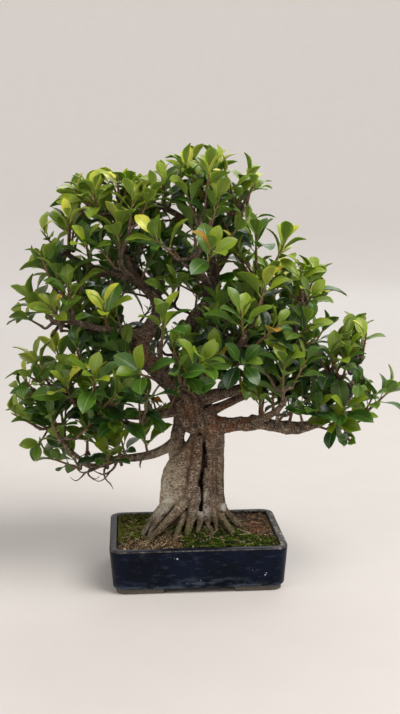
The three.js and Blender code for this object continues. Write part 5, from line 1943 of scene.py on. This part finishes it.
@dataclass(frozen=True)
class FigBark:
    """Smooth grey fig bark, with broken pale lines round each limb, reddish scars and spots of painted
    sunlight.
    """

    brown: str = "#4f4136"
    warm: str = "#705947"
    dusk: str = "#3a2f27"
    shade: str = "#3c2c25"
    pale_lobe_lit: str = "#b3a690"
    ash: str = "#cbbba4"
    lime: str = "#d3cfc6"
    rust_and_sunlight: str = "#8b5030"
    groove_and_shade: str = "#1b1510"
    soiled: str = "#44371f"
    moss: str = "#4a5020"

    def make(self) -> Material:
        """Makes the bark: dull and mottled, with painted shade in its folds, and pale on its lobe, partly as
        painted light.
        """
        r = Recipe("bark_fig_grey")
        where = r.places()
        lime, rust_and_sunlight, low, pale = r.masks()
        limb = r.get("Attribute", "Vector", attribute_name="limb")
        whole = r.split(limb)[2]
        dashes = r.clouds(r.stretched(limb, 1 / 2.7, 1 / 1.1, 0), 1, 2.5, 0.6, 0.7)
        creases = r.clouds(r.stretched(limb, 1 / 15, 1 / 1.9, 0), 1, 4, 0.6)
        mottle = r.clouds(where, 9, 5, 0.62)
        patch = r.clouds(where, 24, 3)
        grit = r.clouds(where, 0.9, 3, 0.7)
        height = r.split(where)[2]
        aloft = r.ramp(height, 165, 250)
        base = r.mix(r.ramp(patch, 0.38, 0.62), self.brown, self.warm)
        base = r.mix(aloft * 0.6, base, self.shade)
        # The pale lobe: its own pale bark, with painted light
        base = r.mix(pale * 0.9, base, self.pale_lobe_lit)
        base = r.mix(r.ramp(mottle, 0.50, 0.64, 0, 0.6), base, self.dusk)
        crowding = r.ramp(r.clouds(where, 6, 3), 0.36, 0.62, 0.25, 1)
        strength = (pale * 0.25 + 0.75) * whole * (aloft * -0.5 + 1)
        base = r.mix(r.ramp(dashes, 0.49, 0.57) * strength * crowding, base, self.ash)
        dark = r.ramp(dashes, 0.45, 0.38) * whole * (aloft * -0.35 + 0.75)
        base = r.mix(dark, base, self.groove_and_shade)
        base = r.mix(r.ramp(creases, 0.4, 0.32) * whole * 0.45, base, "#33281f")
        limed = lime * r.ramp(mottle + lime * 0.3, 0.52, 0.72)
        base = r.mix(limed * r.ramp(dashes, 0.36, 0.5, 0.5, 0.9), base, self.lime)
        # Rusted patches and painted sunlight, in one reddish orange colour
        rust_and_sun_mask = rust_and_sunlight * r.ramp(mottle + dashes * 0.5, 0.62, 0.86)
        base = r.mix(rust_and_sun_mask * 0.85, base, self.rust_and_sunlight)
        # Painted shade in the hollows of the bark
        base = r.mix(r.ramp(low, 0.62, 0.98, 0, 0.7), base, self.groove_and_shade)
        # Painted shade where the wood crowds round, from ambient occlusion
        crowded = r.get("AmbientOcclusion", "AO", Distance=10 * MM, samples=4)
        base = r.mix(r.ramp(crowded, 0.66, 0.15, 0, 0.85), base, self.groove_and_shade)
        damp = r.ramp(height + mottle * 22, 86, 66) * r.ramp(patch, 0.4, 0.58)
        base = r.mix(r.ramp(height, 100, 56, 0, 0.6), base, self.soiled)
        base = r.mix(damp * 0.6, base, self.moss)
        base = r.mix(r.ramp(grit, 0.35, 0.65, 0, 0.25), base, "#2f271f", "MULTIPLY")
        relief = r.relief(grit, 0.12, 0.6)
        relief = r.relief(dashes * whole, 0.55, 0.9, relief)
        relief = r.relief(creases * whole, 0.5, 0.8, relief)
        return r.dress(Base_Color=base, Roughness=r.ramp(mottle, 0.3, 0.7, 0.62, 0.86), Normal=relief,
                       Specular_IOR_Level=0.2)


@dataclass(frozen=True)
class FigLeaf:
    """A waxy fig leaf with a pale midrib, glossy above and dull below."""

    old: str = "#0f2a12"
    mid: str = "#33560f"
    young: str = "#7f911c"
    tender: str = "#c6c53e"
    spent: str = "#a5641f"
    under: str = "#5d7632"
    rib: str = "#8fa648"

    def make(self) -> Material:
        """Makes the leaf: deep to yellow green by its age and by painted light and shade, with veins that
        the light catches.
        """
        r = Recipe("leaf_fig_waxy")
        draw, youth_and_light, under, _ = r.masks()
        out, along, _ = r.split(r.get("UVMap", uv_map="UVMap"))
        out = abs(out * 2 - 1)
        where = r.places()
        mottle = r.clouds(where, 7, 4, 0.6)
        # Dark old green also stands for painted shade inside the crown, yellow green for painted light on
        # top
        colour = r.mix(r.ramp(youth_and_light, 0.04, 0.42), self.old, self.mid)
        colour = r.mix(r.ramp(youth_and_light, 0.36, 0.84), colour, self.young)
        colour = r.mix(r.ramp(draw * 0.4 + youth_and_light, 1.06, 1.3), colour, self.tender)
        colour = r.mix(r.ramp(mottle, 0.35, 0.7, 0, 0.22), colour, "#1c4a10")
        blotch = r.ramp(draw, 0.985, 0.992) * r.ramp(mottle, 0.4, 0.55)
        colour = r.mix(blotch, colour, self.spent)
        colour = r.mix(under * 0.6, colour, self.under)
        midrib = r.ramp(out, 0.07, 0.01)
        slant = along * 15 - out * 2.6
        wave = abs(r.math("FRACT", slant) - 0.5)
        veins = r.ramp(wave, 0.12, 0.0) * r.ramp(out, 1.0, 0.75)
        colour = r.mix(veins * 0.14, colour, self.rib)
        colour = r.mix(midrib * 0.55, colour, self.rib)
        height = mottle * 0.4 - (veins | midrib)
        gloss = under * 0.3 + 0.3 + mottle * 0.16
        return r.dress(Base_Color=colour, Roughness=gloss, IOR=1.46, Normal=r.relief(height, 0.22, 0.7),
                       Subsurface_Weight=0.25, Subsurface_Radius=(0.9, 1.6, 0.35),
                       Subsurface_Scale=1.0 * MM, Coat_Weight=0.08)


@dataclass(frozen=True)
class GreenTwig:
    """The young twig of a shoot, reddish brown, then green, with a bud at its end."""

    wood: str = "#6a4c33"
    green: str = "#84883a"
    bud: str = "#9a7434"

    def make(self) -> Material:
        """Makes the twig: dull at its foot, greener towards the bud."""
        r = Recipe("twig_green_young")
        _, share, _, _ = r.masks()
        where = r.places()
        grain = r.clouds(where, 1.4, 3)
        colour = r.mix(r.ramp(share, 0.4, 0.9), self.wood, self.green)
        colour = r.mix(r.ramp(share, 0.84, 0.95), colour, self.bud)
        colour = r.mix(r.ramp(grain, 0.4, 0.7, 0, 0.45), colour, "#3c2c1d")
        return r.dress(Base_Color=colour, Roughness=0.55, Normal=r.relief(grain, 0.2, 0.6))


@dataclass(frozen=True)
class PottingSoil:
    """Damp potting soil with fine grit in it."""

    dark: str = "#1c140d"
    light: str = "#503f2e"

    def make(self) -> Material:
        """Makes the soil: dull brown crumbs, paler where it has dried."""
        r = Recipe("soil_potting_grit")
        where = r.places()
        crumbs = r.clouds(where, 1.3, 4, 0.7)
        dried = r.clouds(where, 18, 3)
        colour = r.mix(r.ramp(crumbs, 0.35, 0.65), self.dark, self.light)
        colour = r.mix(r.ramp(dried, 0.4, 0.62, 0, 0.4), colour, "#75624a")
        return r.dress(Base_Color=colour, Roughness=0.92, Specular_IOR_Level=0.15,
                       Normal=r.relief(crumbs, 0.9, 1.0))


@dataclass(frozen=True)
class Grit:
    """Grains of baked clay and granite grit."""

    dark: str = "#241912"
    clay: str = "#513b29"
    ochre: str = "#806645"
    granite: str = "#71675a"
    bone: str = "#cbb98f"

    def make(self) -> Material:
        """Makes the grains: each its own dull tone from dark crumb to pale granite."""
        r = Recipe("grit_akadama_granite")
        draw, other, pebbly, _ = r.masks()
        where = r.places()
        colour = r.mix(r.ramp(draw, 0.1, 0.45), self.dark, self.clay)
        colour = r.mix(r.ramp(draw, 0.55, 0.85), colour, self.ochre)
        colour = r.mix(r.ramp(other, 0.74, 0.80), colour, self.granite)
        colour = r.mix(r.ramp(other, 0.93, 0.95) * (pebbly * 0.5 + 0.4), colour, self.bone)
        fine = r.clouds(where, 0.5, 3, 0.7)
        colour = r.mix(r.ramp(fine, 0.4, 0.7, 0, 0.45), colour, "#221a13")
        return r.dress(Base_Color=colour, Roughness=0.9, Specular_IOR_Level=0.15,
                       Normal=r.relief(fine, 0.15, 0.8))


@dataclass(frozen=True)
class CushionMoss:
    """Cushion moss, deep green at its base, fresh at the tips and dry in patches, with painted sunlight on
    the back left carpet.
    """

    base: str = "#0e1203"
    deep: str = "#243408"
    leaf: str = "#4c6410"
    tip: str = "#8a952c"
    straw: str = "#6f5f36"

    def make(self) -> Material:
        """Makes the moss: soft and dull, with dark, fresh and dry patches, paler and yellower where sunlight
        is painted.
        """
        r = Recipe("moss_cushion")
        draw, rise, sunny, _ = r.masks()
        where = r.places()
        # Painted sunlight lifts the back left carpet towards the fresh, dry and tip colours
        fresh = sunny * 0.14 + r.clouds(where, 13, 4, 0.6)
        dry = sunny * 0.1 + r.clouds(r.places((1, 1, 0.6)), 6, 5, 0.62)
        green = r.mix(r.ramp(draw * 0.22 + fresh, 0.48, 0.74), self.deep, self.leaf)
        colour = r.mix(r.ramp(rise, 0.28, 0.75), self.base, green)
        brisk = sunny * 0.2 + (draw * 0.6 + rise)
        colour = r.mix(r.ramp(brisk, 1.2, 1.55), colour, self.tip)
        colour = r.mix(r.ramp(draw * 0.25 + dry, 0.70, 0.84, 0, 0.85), colour, self.straw)
        return r.dress(Base_Color=colour, Roughness=0.9, Specular_IOR_Level=0.12,
                       Normal=r.relief(r.clouds(where, 0.8, 3), 0.4, 0.8))


@dataclass(frozen=True)
class DriedPlant:
    """Fallen scales and stalks, dried on the soil.

    Attributes:
        name: Name of the material.
        dark: Its darkest tone.
        light: Its palest tone.
    """

    name: str
    dark: str
    light: str

    def make(self) -> Material:
        """Makes the dried plant: papery, each piece its own tone."""
        r = Recipe(self.name)
        draw = r.masks()[0]
        fibres = r.clouds(r.places(), 0.9, 3)
        colour = r.mix(draw, self.dark, self.light)
        colour = r.mix(r.ramp(fibres, 0.4, 0.7, 0, 0.4), colour, self.dark)
        return r.dress(Base_Color=colour, Roughness=0.75, Specular_IOR_Level=0.25,
                       Normal=r.relief(fibres, 0.1, 0.6))


@dataclass(frozen=True)
class MouldedPlastic:
    """Black moulded polypropylene."""

    black: str = "#16181a"

    def make(self) -> Material:
        """Makes the plastic: satin, with a fine moulded grain and some dust."""
        r = Recipe("polypropylene_moulded_black")
        where = r.places()
        grain = r.clouds(where, 0.5, 2)
        dust = r.clouds(where, 6, 4)
        colour = r.mix(r.ramp(dust, 0.5, 0.75, 0, 0.45), self.black, "#5a5145")
        return r.dress(Base_Color=colour, Roughness=0.5, Normal=r.relief(grain, 0.05, 0.5))


# The studio

@dataclass
class Studio:
    """Pale floor with a curved back, soft lights and the camera.

    Attributes:
        shop: Gives places of the pot's frame in the model's frame.
        lens: Focal length in millimetres on a 36 mm sensor.
        eye: Where the camera stands.
        turn: Yaw, pitch and roll of the camera in degrees.
    """

    shop: Workshop
    lens: float = 55.46
    eye: Spot = (-76, -1248, 440)
    turn: Spot = (-3.8, 8.38, -0.39)

    def set_camera(self) -> None:
        """Places the camera at the photograph's angle."""
        yaw, pitch, roll = (math.radians(a) for a in self.turn)
        flat = math.cos(pitch)
        ahead = Vector((-math.sin(yaw) * flat, math.cos(yaw) * flat, -math.sin(pitch)))
        right = Vector((math.cos(yaw), math.sin(yaw), 0))
        up = right.cross(ahead)
        level = right * math.cos(roll) + up * math.sin(roll)
        upright = up * math.cos(roll) - right * math.sin(roll)
        data = bpy.data.cameras.new("camera")
        data.lens, data.sensor_width = self.lens, 36.0
        data.clip_start, data.clip_end = 0.05, 50.0
        camera = put_in_scene("camera", data)
        frame = Matrix((level, upright, -ahead)).transposed().to_4x4()
        camera.matrix_world = Matrix.Translation(self.shop.place(*self.eye)) @ frame
        bpy.context.scene.camera = camera

    def lay_floor(self) -> None:
        """Makes the round floor, whose edge curves up far away."""
        reach, bend, steps = 4.4, 2.1, 10
        floor = primitive("circle", vertices=96, radius=reach, fill_type="NGON")
        ops.object.mode_set(mode="EDIT")
        ops.mesh.select_mode(type="EDGE")
        ops.mesh.select_all(action="SELECT")
        ops.mesh.region_to_loop()
        for step in range(steps):
            before, after = (math.pi / 2 * (step + n) / steps for n in (0, 1))
            wider = (reach + bend * math.sin(after)) / (reach + bend * math.sin(before))
            ops.mesh.extrude_edges_move(
                TRANSFORM_OT_translate=lift(bend * (math.cos(before) - math.cos(after))))
            ops.transform.resize(value=(wider, wider, 1), center_override=(0, 0, 0))
        close_mesh(inwards=True)
        ops.object.shade_smooth()
        floor.name = floor.data.name = "studio_floor"
        r = Recipe("paper_backdrop_pale")
        where = r.places()
        far = r.ramp(r.get("VectorMath", "Value", operation="LENGTH", in0=where), 1500, 5000)
        floor.data.materials.append(r.dress(
            Base_Color=r.mix(r.clouds(where, 60, 3), "#c3beba", "#c8c3bf"), Roughness=0.9,
            Specular_IOR_Level=0.2, Emission_Color="#f4efec", Emission_Strength=far * 0.24))
        floor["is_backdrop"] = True

    def hang_lights(self) -> None:
        """Makes the soft lights and the pale surroundings."""
        target = self.shop.place(0, 0, 240)
        for name, place, size, power, colour in (
                ("window_light", (2100, -1700, 3500), 3.0, 205, (1.0, 0.98, 0.95)),
                ("fill_light", (-2700, -2100, 1900), 3.4, 44, (1.0, 0.94, 0.86)),
                ("back_light", (700, 3000, 2900), 3.4, 56, (0.94, 0.97, 1.0))):
            data = bpy.data.lights.new(name, "AREA")
            data.shape, data.size, data.energy, data.color = "DISK", size, power, colour
            lamp, spot = put_in_scene(name, data), self.shop.place(*place)
            aim = (target - spot).to_track_quat("-Z", "Y").to_matrix().to_4x4()
            lamp.matrix_world = Matrix.Translation(spot) @ aim
        world = bpy.data.worlds.new("studio_air")
        world.use_nodes = True
        background = world.node_tree.nodes["Background"]
        background.inputs["Color"].default_value = linear("#e9e6e4")
        background.inputs["Strength"].default_value = 0.62
        bpy.context.scene.world = world
        bpy.context.scene.view_settings.view_transform = "Standard"


def main() -> None:
    """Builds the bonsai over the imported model."""
    logging.basicConfig(level=logging.INFO, format="%(name)s: %(message)s")
    noise.seed_set(SEED)
    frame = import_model()
    nodes = frame["nodes"]
    low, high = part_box("pot")
    middle = (np.array(low) + np.array(high)) / 2
    shop = Workshop(np.array([middle[0] / MM, middle[1] / MM, 0.0]))
    studio = Studio(shop)
    studio.set_camera()
    studio.lay_floor()
    studio.hang_lights()
    bark = FigBark().make()
    GlazedPot(shop).build(DarkGlaze().make(shop.offset))
    plastic = MouldedPlastic().make()
    for name in ("drain_screen_left", "drain_screen_right"):
        nodes[name].data.materials.clear()
        nodes[name].data.materials.append(plastic)
    ground = Ground(shop)
    ground.build_soil(PottingSoil().make())
    ground.build_grit(Grit().make())
    ground.build_moss(CushionMoss().make())
    ground.build_litter(DriedPlant("bud_scales_dried", "#38241a", "#8b5c3c").make(),
                        DriedPlant("stalks_dried", "#9a8452", "#cdbf95").make())
    ground.build_roots(bark)
    crown = Crown(shop, nodes)
    crown.plan()
    wood = Wood(shop)
    wood.build_trunk(bark)
    wood.build_branches([*crown.shoots, *(shoot for shoot, _ in crown.extra)], TWIGLETS, bark)
    crown.build(FigLeaf().make(), GreenTwig().make())
    start_fresh()


if __name__ == "__main__":
    main()
